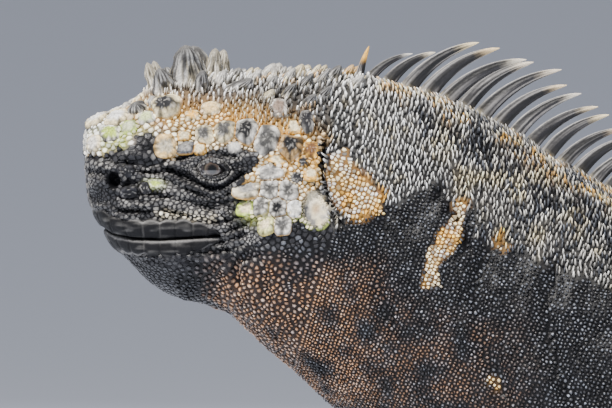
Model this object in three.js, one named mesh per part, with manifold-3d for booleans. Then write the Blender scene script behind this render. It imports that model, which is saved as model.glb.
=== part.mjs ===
// A life-size adult male marine iguana, propped up on its forelegs with its head held level, its hips
// on the floor and its tail laid in a slow curve behind it.
// Millimetres, +Z up. It faces -X, and its left side is towards -Y. The origin is on the floor, under
// the middle of its bounding box. "Behind" is the distance behind the tip of the snout, "high" the
// height above the floor, and "aside" the distance from the middle plane.

import * as THREE from "three";
import { mergeVertices } from "three/addons/utils/BufferGeometryUtils.js";
import Module from "manifold-3d";

const wasm = await Module();
wasm.setup();

// Driving dimensions
const GAP = 0.3; // between neighbouring pieces
const CLEAR = 0.05; // added to it where the facets of two neighbours don't quite follow each other
const FLOOR_SINK = 0.8; // how far soles and belly reach below the floor before it is cut flat
const TAIL_LENGTH = 600;
const TAIL_ROOT_DEPTH = 62;
const TAIL_ROOT_HALF = 25;
const EYE = { behind: 41.6, high: 177, ball: 5.6, slitLong: 6.4, slitTall: 3.4 };
const NOSTRIL = { behind: 10.2, high: 173.8, wide: 2.0, tall: 2.7, rim: 3.6 };
const EAR = { behind: 73.9, high: 164.2, wide: 4.6, tall: 6.8, sunk: 1.1 };

// Sections of the head, neck and trunk. Each goes from the line of the back to the underside, both as
// [behind, high], then its half width, the share of its height where it is widest, and how square its
// upper and lower halves are, where 2 is an ellipse.
const SECTIONS = {
  face: [[0.4, 188.5], [0.6, 177.5], 5.5, 0.5, 2.3, 2.3],
  muzzle: [[1.8, 192.3], [2.2, 166], 12.5, 0.45, 2.6, 2.4],
  lipFront: [[5.2, 194.3], [6.0, 158.4], 16.2, 0.42, 2.7, 2.4],
  nose: [[10.6, 196], [9.6, 152.2], 18.2, 0.42, 2.6, 2.3],
  chin: [[16.5, 199.2], [14.6, 147], 19.8, 0.42, 2.5, 2.3],
  foreFace: [[23.5, 203.8], [21.3, 140], 21.2, 0.42, 2.4, 2.2],
  lores: [[31.5, 206.6], [30, 135.4], 22.6, 0.42, 2.4, 2.2],
  eye: [[42, 207.7], [40, 133.4], 24.5, 0.42, 2.4, 2.2],
  brow: [[54, 207.2], [46.8, 130.2], 27.2, 0.42, 2.4, 2.2],
  jowl: [[67, 207.5], [53, 124.8], 30.2, 0.43, 2.3, 2.2],
  ear: [[81, 208], [59.8, 118.6], 32.2, 0.44, 2.2, 2.2],
  nape: [[95, 205.8], [66.8, 112.4], 33, 0.46, 2.1, 2.1],
  neck: [[121.5, 197.4], [82, 99.4], 36.5, 0.47, 2.1, 2.1],
  withers: [[153, 179.6], [104, 81.5], 44, 0.47, 2.1, 2.1],
  shoulder: [[187, 160.5], [134, 61.5], 52, 0.47, 2.2, 2.1],
  chest: [[226, 141.5], [173, 45], 58.5, 0.46, 2.2, 2.2],
  ribs: [[271, 122.5], [224, 28], 63.5, 0.44, 2.2, 2.3],
  flank: [[320, 103.5], [283, 9.5], 62, 0.42, 2.2, 2.4],
  loin: [[369, 84.5], [342, -0.8], 51, 0.41, 2.2, 2.5],
  hip: [[411, 69.5], [393, -0.8], 35.5, 0.43, 2.2, 2.4],
};

// Swellings and hollows of the face: behind, high, how far each reaches both ways, and how far it
// stands out
const SWELLINGS = [
  { name: "eyeball under its lids", behind: 42, high: 177, long: 8.5, tall: 6.5, rise: 2.6 },
  { name: "brow", behind: 50, high: 188.5, long: 15, tall: 5, rise: 2.2 },
  { name: "hollow before the eye", behind: 27, high: 175, long: 7, tall: 6, rise: -2.0 },
  { name: "nose", behind: 9, high: 175, long: 7, tall: 8, rise: 1.8 },
  { name: "upper lip", behind: 24, high: 159.6, long: 20, tall: 2.6, rise: 1.4 },
  { name: "lower lip", behind: 26, high: 150.5, long: 17, tall: 3.6, rise: 1.5 },
  { name: "jaw muscle", behind: 60, high: 155, long: 11, tall: 13, rise: 3.4 },
  { name: "groove under the jaw", behind: 38, high: 142.5, long: 14, tall: 2.4, rise: -1.0 },
  { name: "hollow of the ear", behind: 74, high: 164, long: 6, tall: 8, rise: -1.4 },
];

// The tail's own sections, one by one to its tip
const TAIL_SECTIONS = 9;
const TAIL_TIP = { depth: 2.6, half: 1.1 };
const tailSections = [];
const vent = { behind: 433, lean: 14 };
for (let i = 0; i <= TAIL_SECTIONS; i++) {
  const along = (i / TAIL_SECTIONS) ** 1.25;
  const depth = TAIL_TIP.depth + (TAIL_ROOT_DEPTH - TAIL_TIP.depth) * (1 - along) ** 1.15;
  const half = TAIL_TIP.half + (TAIL_ROOT_HALF - TAIL_TIP.half) * (1 - along) ** 3.2 * 0.62
    + (TAIL_ROOT_HALF - TAIL_TIP.half) * (1 - along) * 0.38;
  const behind = vent.behind + TAIL_LENGTH * along;
  const lean = vent.lean * (1 - along) ** 3;
  tailSections.push([[behind, depth], [behind - lean, -FLOOR_SINK], half, 0.46, 2.1, 2.2]);
}

// Smooth value at s through the given values at the given knots
function through(knots, values) {
  const slope = values.map((v, i) => {
    const a = Math.max(0, i - 1);
    const b = Math.min(values.length - 1, i + 1);
    return (values[b] - values[a]) / (knots[b] - knots[a]);
  });
  return (s) => {
    let i = 0;
    while (i < knots.length - 2 && s > knots[i + 1]) i++;
    const span = knots[i + 1] - knots[i];
    const t = (s - knots[i]) / span;
    const rise = values[i + 1] - values[i];
    const bow = t * (1 - t) * ((1 - t) * (slope[i] * span - rise) + t * (rise - slope[i + 1] * span));
    return values[i] + rise * t + bow;
  };
}

// The body's own measure: millimetres along the middle of its sections from the snout
const rows = [...Object.values(SECTIONS), ...tailSections];
const middle = rows.map(([t, u]) => new THREE.Vector2((t[0] + u[0]) / 2, (t[1] + u[1]) / 2));
const knots = [0];
for (let i = 1; i < rows.length; i++) knots.push(knots[i - 1] + middle[i].distanceTo(middle[i - 1]));
const at = Object.fromEntries(Object.keys(SECTIONS).map((name, i) => [name, knots[i]]));
at.vent = knots[Object.keys(SECTIONS).length];
at.tip = knots[knots.length - 1];
const column = (pick) => through(knots, rows.map(pick));
const section = {
  topBehind: column((r) => r[0][0]),
  topHigh: column((r) => r[0][1]),
  underBehind: column((r) => r[1][0]),
  underHigh: column((r) => r[1][1]),
  half: column((r) => r[2]),
  widest: column((r) => r[3]),
  upperSquare: column((r) => r[4]),
  lowerSquare: column((r) => r[5]),
};

// The tail swings to the left and back to the right on the floor
const SWING = { from: 440, heading: 0.62, wave: 640 };
const planStep = 2;
const planSpare = 60; // walked past the tail's tip, for the spines that lean over it
const plan = [new THREE.Vector2(SWING.from, 0)];
const headingAt = (behind) =>
  behind < SWING.from ? 0 : -SWING.heading * Math.sin((2 * Math.PI * (behind - SWING.from)) / SWING.wave);
for (let b = SWING.from; b < SWING.from + TAIL_LENGTH + planSpare; b += planStep) {
  const turn = headingAt(b + planStep / 2);
  const step = new THREE.Vector2(Math.cos(turn), Math.sin(turn)).multiplyScalar(planStep);
  plan.push(plan[plan.length - 1].clone().add(step));
}
function onPlan(behind, aside, high) {
  if (behind <= SWING.from) return new THREE.Vector3(behind, aside, high);
  const i = Math.min(plan.length - 2, Math.floor((behind - SWING.from) / planStep));
  const share = (behind - SWING.from) / planStep - i;
  const centre = plan[i].clone().lerp(plan[i + 1], share);
  const turn = headingAt(behind);
  return new THREE.Vector3(centre.x - Math.sin(turn) * aside, centre.y + Math.cos(turn) * aside, high);
}

// A point of the body's surface at s, turned from the back (0) over the left side (a quarter) down to
// the underside, with reach 0 at the middle of the section and 1 on the skin
function bodyPoint(s, turn, reach = 1, thicker = 0) {
  const c = Math.cos(turn);
  const d = Math.sin(turn);
  const square = c > 0 ? section.upperSquare(s) : section.lowerSquare(s);
  const level = section.widest(s);
  const share = level + Math.sign(c) * Math.abs(c) ** (2 / square) * (c > 0 ? 1 - level : level);
  const run = section.topBehind(s) - section.underBehind(s);
  const rise = section.topHigh(s) - section.underHigh(s);
  const grown = share + (c * thicker) / Math.hypot(run, rise);
  const inner = level + (grown - level) * reach;
  const behind = section.underBehind(s) + run * inner;
  const high = section.underHigh(s) + rise * inner;
  let swell = 0;
  if (s < at.neck)
    for (const b of SWELLINGS)
      swell += b.rise * Math.exp(-(((behind - b.behind) / b.long) ** 2) - ((high - b.high) / b.tall) ** 2);
  const out = (section.half(s) + swell) * Math.abs(d) ** (2 / square) + Math.abs(d) * thicker;
  return onPlan(behind, -Math.sign(d) * out * reach, high);
}

// A closed cylinder or cone whose vertices are moved by place(along, turn, reach)
function formed(sides, rings, place, pointed = false) {
  const form = new THREE.CylinderGeometry(pointed ? 0 : 1, 1, 1, sides, rings);
  const p = form.getAttribute("position");
  for (let i = 0; i < p.count; i++) {
    const along = p.getY(i) + 0.5;
    const rim = pointed ? 1 - along : 1;
    const reach = rim > 0 ? Math.hypot(p.getX(i), p.getZ(i)) / rim : 0;
    const v = place(along, Math.atan2(p.getX(i), p.getZ(i)), Math.min(1, reach));
    p.setXYZ(i, v.x, v.y, v.z);
  }
  return form;
}

// Solids by manifold-3d
function solid(geometry) {
  const bare = geometry.clone();
  bare.deleteAttribute("normal");
  bare.deleteAttribute("uv");
  const merged = mergeVertices(bare, 1e-4);
  const made = new wasm.Manifold(
    new wasm.Mesh({
      numProp: 3,
      vertProperties: merged.attributes.position.array,
      triVerts: new Uint32Array(merged.index.array),
    }),
  );
  if (made.volume() < 0) throw new Error("a form is inside out");
  return made;
}
const largest = (made) =>
  made.decompose().reduce((best, body) => (body.volume() > best.volume() ? body : best));
const joined = (pieces) => wasm.Manifold.union(pieces);
const onFloor = (made) => made.trimByPlane([0, 0, 1], 0);

function geometryOf(made) {
  const mesh = made.getMesh();
  return new THREE.BufferGeometry()
    .setAttribute("position", new THREE.BufferAttribute(mesh.vertProperties, 3))
    .setIndex(new THREE.BufferAttribute(mesh.triVerts, 1));
}

// A length of the body between two places along it
function length(from, to, sides, rings, thicker = 0, spread = (t) => t) {
  return formed(sides, rings, (along, turn, reach) =>
    bodyPoint(from + (to - from) * spread(along), turn, reach, thicker));
}

// Rounded limb segment through points, with a radius at each point
function segment(points, radii, sides, rings, { flat = 1, thicker = 0, blunt = 0.16 } = {}) {
  const curve = new THREE.CatmullRomCurve3(points);
  const radius = through(points.map((_, i) => i / (points.length - 1)), radii);
  const up = new THREE.Vector3(0, 0, 1);
  return formed(sides, rings, (along, turn, reach) => {
    const near = 0.5 - 0.5 * Math.cos(Math.PI * along);
    const share = 0.35 * near + 0.65 * along;
    const end = Math.min(share, 1 - share) / blunt;
    const round = end < 1 ? Math.sqrt(1 - (1 - end) ** 2 * 0.93) : 1;
    const centre = curve.getPoint(share);
    const ahead = curve.getTangent(share).normalize();
    const side = new THREE.Vector3().crossVectors(ahead, up).normalize();
    const top = new THREE.Vector3().crossVectors(side, ahead).normalize();
    const r = radius(share) * round + thicker;
    return centre
      .addScaledVector(ahead, (share - 0.5) * 2 * thicker)
      .addScaledVector(top, Math.cos(turn) * r * flat * reach)
      .addScaledVector(side, Math.sin(turn) * r * reach);
  });
}

const nodes = [];
function node(name, made, material) {
  nodes.push({ name, made: largest(made), material });
}

// Materials
const finish = (color, roughness) => new THREE.MeshStandardMaterial({ color, roughness, metalness: 0 });
const HIDE = finish(0x3b3a38, 0.75);
const FACE = finish(0x2e2d2c, 0.7);
const CRUST = finish(0x8d8a80, 0.85);
const EYES = finish(0x2a1c12, 0.15);

// Where the head's skin is met from the side or from above, with its outward normal
const HEAD_SIDES = 22;
const HEAD_RINGS = 18;
const headForm = length(0, at.nape - GAP / 2, HEAD_SIDES, HEAD_RINGS, 0, (t) => 0.3 * t * t + 0.7 * t);
const headTarget = new THREE.Mesh(headForm, new THREE.MeshBasicMaterial({ side: THREE.DoubleSide }));
function met(from, towards) {
  const hit = new THREE.Raycaster(from, towards).intersectObject(headTarget)[0];
  return { point: hit.point, normal: hit.face.normal.clone() };
}
const OUTSIDE = 300;
const onLeft = (behind, high) =>
  met(new THREE.Vector3(behind, -OUTSIDE, high), new THREE.Vector3(0, 1, 0));
const onFront = (aside, high) =>
  met(new THREE.Vector3(-OUTSIDE, aside, high), new THREE.Vector3(1, 0, 0));
const onTop = (behind, aside) =>
  met(new THREE.Vector3(behind, aside, OUTSIDE * 2), new THREE.Vector3(0, 0, -1));

// A raised scale set on the skin: its root is sunk, and its profile is a list of [width, height] shares
const PROFILES = {
  dome: [[1, -0.4], [0.82, 0.68], [0, 1]],
  plate: [[1.04, -0.9], [0.96, 0.75], [0.7, 1]],
  horn: [[1.05, -0.3], [0.76, 0.58], [0, 1]],
};
function raised(place, kind, long, wide, rise, sides, lean = 0) {
  const profile = PROFILES[kind];
  const rings = profile.length - 1;
  const up = place.normal.clone().normalize();
  const back = new THREE.Vector3(1, 0, 0).addScaledVector(up, -up.x).normalize();
  const side = new THREE.Vector3().crossVectors(up, back);
  return solid(formed(sides, rings, (along, turn, reach) => {
    const [width, height] = profile[Math.round(along * rings)];
    const leaned = lean * rise * Math.max(0, height) ** 1.5;
    return place.point.clone()
      .addScaledVector(up, height * rise)
      .addScaledVector(back, leaned + Math.cos(turn) * width * long * reach)
      .addScaledVector(side, Math.sin(turn) * width * wide * reach);
  }, kind !== "plate"));
}
const mirrored = (made) => made.mirror([0, 1, 0]);

// Horn-like scales of the crown: behind, aside, half length, half width, rise, lean
const CROWN_HORNS = [
  [15, 3, 2.6, 2.4, 2.6, 0], [19.5, 8, 2.6, 2.6, 3.2, 0.1], [26, 5.5, 3.2, 3.0, 7.5, 0.15],
  [34.5, 6.5, 4.6, 3.8, 12.5, 0.05], [41.5, 3.5, 3.0, 2.6, 9.5, 0.1], [39, 11.5, 2.2, 2.2, 7, 0.2],
  [49, 5, 2.6, 2.6, 5, 0.4], [50, 13, 3.4, 2.4, 4.2, 0.9], [58, 3.5, 3.4, 2.8, 6.2, 0.3],
  [61, 11.5, 2.4, 2.2, 4.5, 0.4], [69, 5, 3.0, 2.6, 5.2, 0.5], [71.5, 13.5, 2.8, 2.2, 6, 0.7],
  [80, 8.5, 2.6, 2.2, 4.6, 0.6],
];
// Rounded bosses and flat plates of the side of the head: behind, high, half length, half height, rise
const SIDE_BOSSES = [
  [16.6, 183.4, 5.6, 4.6, 2.4], [26.4, 196.6, 4.3, 3.2, 3.0], [26.8, 184.4, 3.3, 3.2, 1.6],
  [33.2, 183.9, 3.3, 2.0, 1.3], [39, 187.5, 2.4, 2.6, 1.6], [45.6, 188.8, 2.9, 2.8, 2.0],
  [52.2, 188.7, 3.1, 3.3, 2.4], [58.8, 185.8, 3.6, 4.2, 2.2], [66.2, 183.8, 3.8, 3.8, 2.6],
  [54.6, 180.4, 3.0, 2.9, 1.5], [62.5, 196, 2.4, 3.2, 2.4], [71.2, 191.6, 2.2, 3.6, 2.6],
];
const CHEEK_PLATES = [
  [52.8, 170.9, 4.1, 2.7, 1.5], [59.9, 170.6, 2.6, 2.8, 1.7], [65.4, 170.2, 2.6, 2.8, 1.7],
  [57.0, 165.2, 2.3, 2.6, 1.7], [62.2, 164.8, 2.3, 2.7, 1.7], [60.0, 176.2, 4.0, 1.9, 1.3],
  [52.6, 164.6, 2.9, 2.0, 1.4], [58.6, 159.6, 2.3, 2.7, 1.5], [63.6, 159.4, 2.2, 2.5, 1.5],
];
// Low crusted plates over the front of the snout: behind, aside
const SNOUT_PLATES = [[4.6, 4.6], [10.6, 0], [10.8, 9.6], [17.2, 0.2]];
const SNOUT_PLATE = { long: 4.2, wide: 4.4, rise: 1.9 };

let head = solid(headForm);
const growths = [];
for (const [behind, aside, long, wide, rise, lean] of CROWN_HORNS)
  for (const sign of [-1, 1])
    growths.push(raised(onTop(behind + sign * 0.9, sign * aside), "horn", long, wide, rise, 5, lean));
for (const [behind, high, long, tall, rise] of SIDE_BOSSES) {
  const boss = raised(onLeft(behind, high), "dome", long, tall, rise, 6);
  growths.push(boss, mirrored(boss));
}
for (const [behind, high, long, tall, rise] of CHEEK_PLATES) {
  const plate = raised(onLeft(behind, high), "plate", long, tall, rise, 6);
  growths.push(plate, mirrored(plate));
}
for (const [behind, aside] of SNOUT_PLATES)
  for (const sign of aside > 1 ? [-1, 1] : [1]) {
    const { long, wide, rise } = SNOUT_PLATE;
    growths.push(raised(onTop(behind, sign * aside), "dome", long, wide, rise, 6));
  }

// Lids: a rim round an almond-shaped slit, with a round socket behind it for the eyeball
const eyeSkin = onLeft(EYE.behind, EYE.high);
const eyeCentre = new THREE.Vector3(EYE.behind, eyeSkin.point.y + EYE.ball - 0.9, EYE.high);
const LID = { long: 4.6, tall: 3.5, tube: 1.25 };
const rim = new THREE.TorusGeometry(1, 0.3, 4, 12);
rim.scale(LID.long, LID.tall, LID.tube / 0.3);
rim.rotateX(Math.PI / 2);
rim.translate(EYE.behind, eyeSkin.point.y + 0.1, EYE.high);
const slit = new THREE.Shape();
slit.moveTo(-EYE.slitLong / 2, -0.2);
slit.quadraticCurveTo(0, EYE.slitTall + 0.1, EYE.slitLong / 2, 0.3);
slit.quadraticCurveTo(0, -EYE.slitTall - 0.1, -EYE.slitLong / 2, -0.2);
const slitForm = new THREE.ExtrudeGeometry(slit, { depth: 12, bevelEnabled: false, curveSegments: 5 });
slitForm.rotateX(Math.PI / 2);
slitForm.translate(EYE.behind, eyeCentre.y, EYE.high);
const socketForm = new THREE.SphereGeometry(EYE.ball + 2 * GAP, 10, 7);
socketForm.translate(eyeCentre.x, eyeCentre.y, eyeCentre.z);
const lidRim = solid(rim);
const eyeHollow = solid(slitForm).add(solid(socketForm));

// Nostril: a rimmed hole that faces aside and a little forward
const nose = onLeft(NOSTRIL.behind, NOSTRIL.high);
const facing = new THREE.Quaternion().setFromUnitVectors(new THREE.Vector3(0, 0, 1), nose.normal);
const noseRim = new THREE.TorusGeometry(1, 0.42, 4, 9);
noseRim.scale(NOSTRIL.wide * 1.25, NOSTRIL.tall * 1.2, NOSTRIL.rim / 1.4);
const noseHole = new THREE.SphereGeometry(1, 8, 6);
noseHole.scale(NOSTRIL.wide, NOSTRIL.tall, 5);
for (const form of [noseRim, noseHole]) {
  form.applyQuaternion(facing);
  form.translate(nose.point.x, nose.point.y, nose.point.z);
}
growths.push(solid(noseRim), mirrored(solid(noseRim)), lidRim, mirrored(lidRim));

// Ear: a shallow oval dish with the drum at its bottom
const ear = onLeft(EAR.behind, EAR.high);
const dish = new THREE.SphereGeometry(1, 10, 8);
const DISH_DEPTH = 4;
dish.scale(EAR.wide, DISH_DEPTH, EAR.tall);
dish.translate(ear.point.x, ear.point.y - DISH_DEPTH + EAR.sunk, ear.point.z);

// Lips: a rounded edge along each jaw from one corner of the mouth round the front to the other
const MOUTH = [
  [-6, 158.9], [6.4, 158.6], [10, 156.4], [16.3, 155.2], [25, 154.9], [34, 155.4], [42.6, 156],
];
const mouthHigh = through(MOUTH.map((m) => m[0]), MOUTH.map((m) => m[1]));
const LIP = { radius: 1.5, above: 1.9, sunk: 0.6, sides: [42, 34, 26, 18.5, 13], front: 8 };
function lip(rise) {
  const frontHigh = mouthHigh(7) + rise;
  const half = [
    ...LIP.sides.map((behind) => onLeft(behind, mouthHigh(behind) + rise)),
    onFront(-LIP.front, frontHigh),
  ].map(({ point, normal }) => point.addScaledVector(normal, -LIP.sunk));
  const front = onFront(0, frontHigh).point;
  front.x += LIP.sunk;
  const right = half.slice().reverse().map((v) => new THREE.Vector3(v.x, -v.y, v.z));
  const points = [...half, front, ...right];
  return segment(points, points.map(() => LIP.radius), 5, 14, { blunt: 0.05 });
}
growths.push(solid(lip(LIP.above)), solid(lip(-LIP.above)));

// Crest spines stand along the line of the back. Each rises at one angle and sweeps back to another.
const SWEEP = { root: THREE.MathUtils.degToRad(58), tip: THREE.MathUtils.degToRad(8), sunk: 0.16 };
function spine(s, tall, base, thick, sides, rings, jitter = 0) {
  const from = SWEEP.root + jitter;
  const turn = SWEEP.tip - SWEEP.root;
  const grown = tall * (1 + SWEEP.sunk);
  const sunkBack = tall * SWEEP.sunk * Math.cos(from);
  const sunkDown = tall * SWEEP.sunk * Math.sin(from);
  return solid(formed(sides, rings, (along, angle, reach) => {
    const heading = from + turn * along;
    const ahead = (grown * (Math.sin(heading) - Math.sin(from))) / turn - sunkBack;
    const above = (-grown * (Math.cos(heading) - Math.cos(from))) / turn - sunkDown;
    const taper = (1 - along) ** 0.6;
    const across = Math.cos(angle) * base * taper * reach;
    const aside = Math.sin(angle) * thick * taper * reach;
    return onPlan(
      section.topBehind(s) + ahead - Math.sin(heading) * across,
      -aside,
      section.topHigh(s) + above + Math.cos(heading) * across,
    );
  }, true));
}
const spineBase = (tall) => 1.1 + tall * 0.055;
const spineThick = (tall) => 0.7 + tall * 0.028;

// The first two spines stand on the back of the head: how far before the nape, and how tall
const HEAD_SPINES = [[5.6, 10, 0.4], [2.9, 16, 0]];
for (const [before, tall, upright] of HEAD_SPINES)
  growths.push(spine(at.nape - before, tall, spineBase(tall) * 0.8, spineThick(tall), 5, 3, upright));

head = joined([head, ...growths])
  .subtract(joined([eyeHollow, mirrored(eyeHollow), solid(noseHole), mirrored(solid(noseHole))]))
  .subtract(joined([solid(dish), mirrored(solid(dish))]));

// The mouth is a thin cut from the lips to their corner, and from there down behind the jaw
const cutLine = new THREE.SplineCurve([...MOUTH, [47.5, 153.2], [51.5, 146], [53.5, 135], [54.5, 112]]
  .map(([behind, high]) => new THREE.Vector2(behind, high)));
const MOUTH_GAP = 0.5;
const cutSteps = 16;
const cutEdge = (offset) => {
  const points = [];
  for (let i = 0; i <= cutSteps; i++) {
    const along = cutLine.getPoint(i / cutSteps);
    const ahead = cutLine.getTangent(i / cutSteps);
    points.push(new THREE.Vector2(along.x - ahead.y * offset, along.y + ahead.x * offset));
  }
  return points;
};
const cutShape = new THREE.Shape([...cutEdge(-MOUTH_GAP / 2), ...cutEdge(MOUTH_GAP / 2).reverse()]);
const CUT_REACH = 60;
const headRoom = solid(length(0, at.nape + GAP / 2 - CLEAR, HEAD_SIDES, HEAD_RINGS, GAP + CLEAR));
const cutForm = new THREE.ExtrudeGeometry(cutShape, { depth: 2 * CUT_REACH, bevelEnabled: false });
cutForm.rotateX(Math.PI / 2);
cutForm.translate(0, CUT_REACH, 0);
const jaws = head.subtract(solid(cutForm)).decompose().sort((a, b) => b.volume() - a.volume());
node("head", jaws[0], CRUST);
node("lower_jaw", jaws[1], FACE);
const eyeball = new THREE.SphereGeometry(EYE.ball, 12, 8);
eyeball.translate(eyeCentre.x, eyeCentre.y, eyeCentre.z);
node("eye_left", solid(eyeball), EYES);
node("eye_right", mirrored(solid(eyeball)), EYES);

// Seeded draw, so that every run grows the same spines
function seeded(seed) {
  let state = seed;
  return () => {
    state = (state * 1664525 + 1013904223) % 4294967296;
    return state / 4294967296 - 0.5;
  };
}
const draw = seeded(7);

// The crest's three stretches, with the height of spine i of a stretch, at share t of it
const NECK_SPINES = [19, 27, 30, 30, 29, 28, 26, 25, 24, 24, 23, 23, 22, 22, 21, 21, 20];
const CREST = [
  {
    from: at.nape + 2, to: at.shoulder - 5, count: NECK_SPINES.length, sides: 5, rings: 3,
    tall: (i) => NECK_SPINES[i], base: (tall) => spineBase(tall), thick: (tall) => spineThick(tall),
  },
  {
    from: at.shoulder + 4, to: at.vent - 5, count: 32, sides: 4, rings: 2,
    tall: (i, t) => 9 + 10 * (1 - t) ** 1.6, base: () => 1.9, thick: () => 1,
  },
  {
    from: at.vent + 6, to: at.tip - 40, count: 38, sides: 4, rings: 2,
    tall: (i, t) => 3.2 + 7.5 * (1 - t) ** 0.9,
    base: (tall, t) => 1.2 + 0.9 * (1 - t), thick: (tall, t) => 0.6 + 0.4 * (1 - t),
  },
];
const UNEVEN = { tall: 0.16, lean: 0.12 };
const spines = [];
for (const { from, to, count, sides, rings, tall, base, thick } of CREST)
  for (let i = 0; i < count; i++) {
    const t = i / (count - 1);
    const s = from + (to - from) * t;
    const height = tall(i, t);
    const grown = height * (1 + UNEVEN.tall * draw());
    const made = spine(s, grown, base(height, t), thick(height, t), sides, rings, UNEVEN.lean * draw());
    spines.push({ s, made });
  }

// Neck, trunk and tail, each with the spines that stand on it
const TRUNK = [
  { name: "neck", from: at.nape, to: at.shoulder, sides: 24, rings: 8 },
  { name: "chest", from: at.shoulder, to: at.ribs, sides: 24, rings: 6 },
  { name: "belly", from: at.ribs, to: at.loin, sides: 24, rings: 6 },
  { name: "pelvis", from: at.loin, to: at.vent, sides: 24, rings: 5 },
];
const TAIL_NODES = 5;
for (let i = 0; i < TAIL_NODES; i++) {
  const share = (n) => at.vent + (at.tip - at.vent) * (n / TAIL_NODES);
  TRUNK.push({ name: `tail_${i + 1}`, from: share(i), to: share(i + 1), sides: 10, rings: 5 });
}
const rooms = TRUNK.map(({ from, to, sides, rings }) =>
  solid(length(from - GAP / 2 + CLEAR, to + GAP / 2 - CLEAR, sides, rings, GAP + CLEAR)));
TRUNK.forEach(({ name, from, to, sides, rings }, i) => {
  const own = spines.filter((grown) => grown.s > from && grown.s < to).map((grown) => grown.made);
  let rooted = joined(own);
  for (const room of [i > 0 ? rooms[i - 1] : headRoom, rooms[i + 1]])
    if (room) rooted = rooted.subtract(room);
  const flesh = solid(length(from + GAP / 2, to - GAP / 2, sides, rings));
  node(name, onFloor(flesh.add(rooted)), HIDE);
});
const trunkRoom = joined(rooms.slice(0, 5));

// Legs: joints as [behind, aside, high], with the muscle's radius along each bone
const LEGS = {
  fore_left: {
    sign: -1,
    shoulder: [176, 34, 92], elbow: [207, 90, 64], wrist: [180, 104, 14], palm: [163, 106, 6],
    names: ["upper_arm_left", "forearm_left", "hand_left"],
    digits: [[40, 17], [15, 25], [-6, 29], [-28, 27], [-58, 19]],
  },
  fore_right: {
    sign: 1,
    shoulder: [178, 34, 91], elbow: [214, 88, 64], wrist: [191, 104, 14], palm: [174, 107, 6],
    names: ["upper_arm_right", "forearm_right", "hand_right"],
    digits: [[38, 17], [14, 25], [-8, 29], [-30, 27], [-60, 19]],
  },
  hind_left: {
    sign: -1,
    shoulder: [398, 20, 42], elbow: [356, 88, 55], wrist: [404, 108, 15], palm: [384, 118, 6.4],
    names: ["thigh_left", "shin_left", "foot_left"],
    digits: [[34, 16], [12, 26], [-8, 35], [-26, 44], [-56, 26]],
  },
  hind_right: {
    sign: 1,
    shoulder: [398, 20, 42], elbow: [362, 90, 54], wrist: [412, 106, 15], palm: [393, 119, 6.4],
    names: ["thigh_right", "shin_right", "foot_right"],
    digits: [[30, 16], [8, 26], [-12, 35], [-30, 44], [-60, 26]],
  },
};
const RADII = {
  fore: { upper: [23, 20, 15.5, 12.5], lower: [13, 14, 10.5, 8], palm: [8.6, 11, 12, 10.5], digit: 3.6 },
  hind: { upper: [28, 26, 20, 15], lower: [15.5, 16, 11.5, 8.6], palm: [9, 12, 13, 11], digit: 4 },
};
const vec = (sign, [behind, aside, high]) => new THREE.Vector3(behind, sign * aside, high);
const bowed = (a, b, shares, bow) =>
  shares.map((t) => a.clone().lerp(b, t).addScaledVector(bow, Math.sin(Math.PI * t)));
const UPPER_BONE = [0, 0.33, 0.67, 1.12]; // shares of the bone, carried a little past the joints
const LOWER_BONE = [-0.14, 0.3, 0.65, 1.06];

function claw(from, heading, size) {
  return solid(formed(4, 2, (along, turn, reach) => {
    const drop = along ** 1.8 * size * 0.2;
    const r = size * 0.18 * (1 - along) ** 0.8 * reach;
    const side = new THREE.Vector3(heading.y, -heading.x, 0);
    return from.clone()
      .addScaledVector(heading, (along * 1.3 - 0.35) * size)
      .addScaledVector(side, Math.sin(turn) * r)
      .add(new THREE.Vector3(0, 0, Math.cos(turn) * r * 1.25 - drop));
  }, true));
}

// A digit leaves the palm, bends up at its knuckle and rests its end on the floor:
// share of its reach, height and radius, the last two as shares of its thickness
const DIGIT = [[0, 1.6, 1.05], [0.4, 1.4, 0.98], [0.84, 0.42, 0.8], [1, 0.55, 0.5]];
function digit(root, angle, reach, radius, sign) {
  const heading = new THREE.Vector3(-Math.cos(angle), -sign * Math.sin(angle), 0);
  const side = new THREE.Vector3(heading.y, -heading.x, 0);
  const rings = DIGIT.length - 1;
  const toe = solid(formed(5, rings, (along, turn, out) => {
    const [share, high, thick] = DIGIT[Math.round(along * rings)];
    const point = root.clone().addScaledVector(heading, share * reach);
    point.addScaledVector(side, Math.sin(turn) * radius * thick * out);
    point.z = radius * (high + Math.cos(turn) * thick * out);
    return point;
  }));
  const nailFrom = root.clone().addScaledVector(heading, reach);
  nailFrom.z = radius * 0.65;
  return toe.add(claw(nailFrom, heading, radius * 2.9));
}

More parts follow.
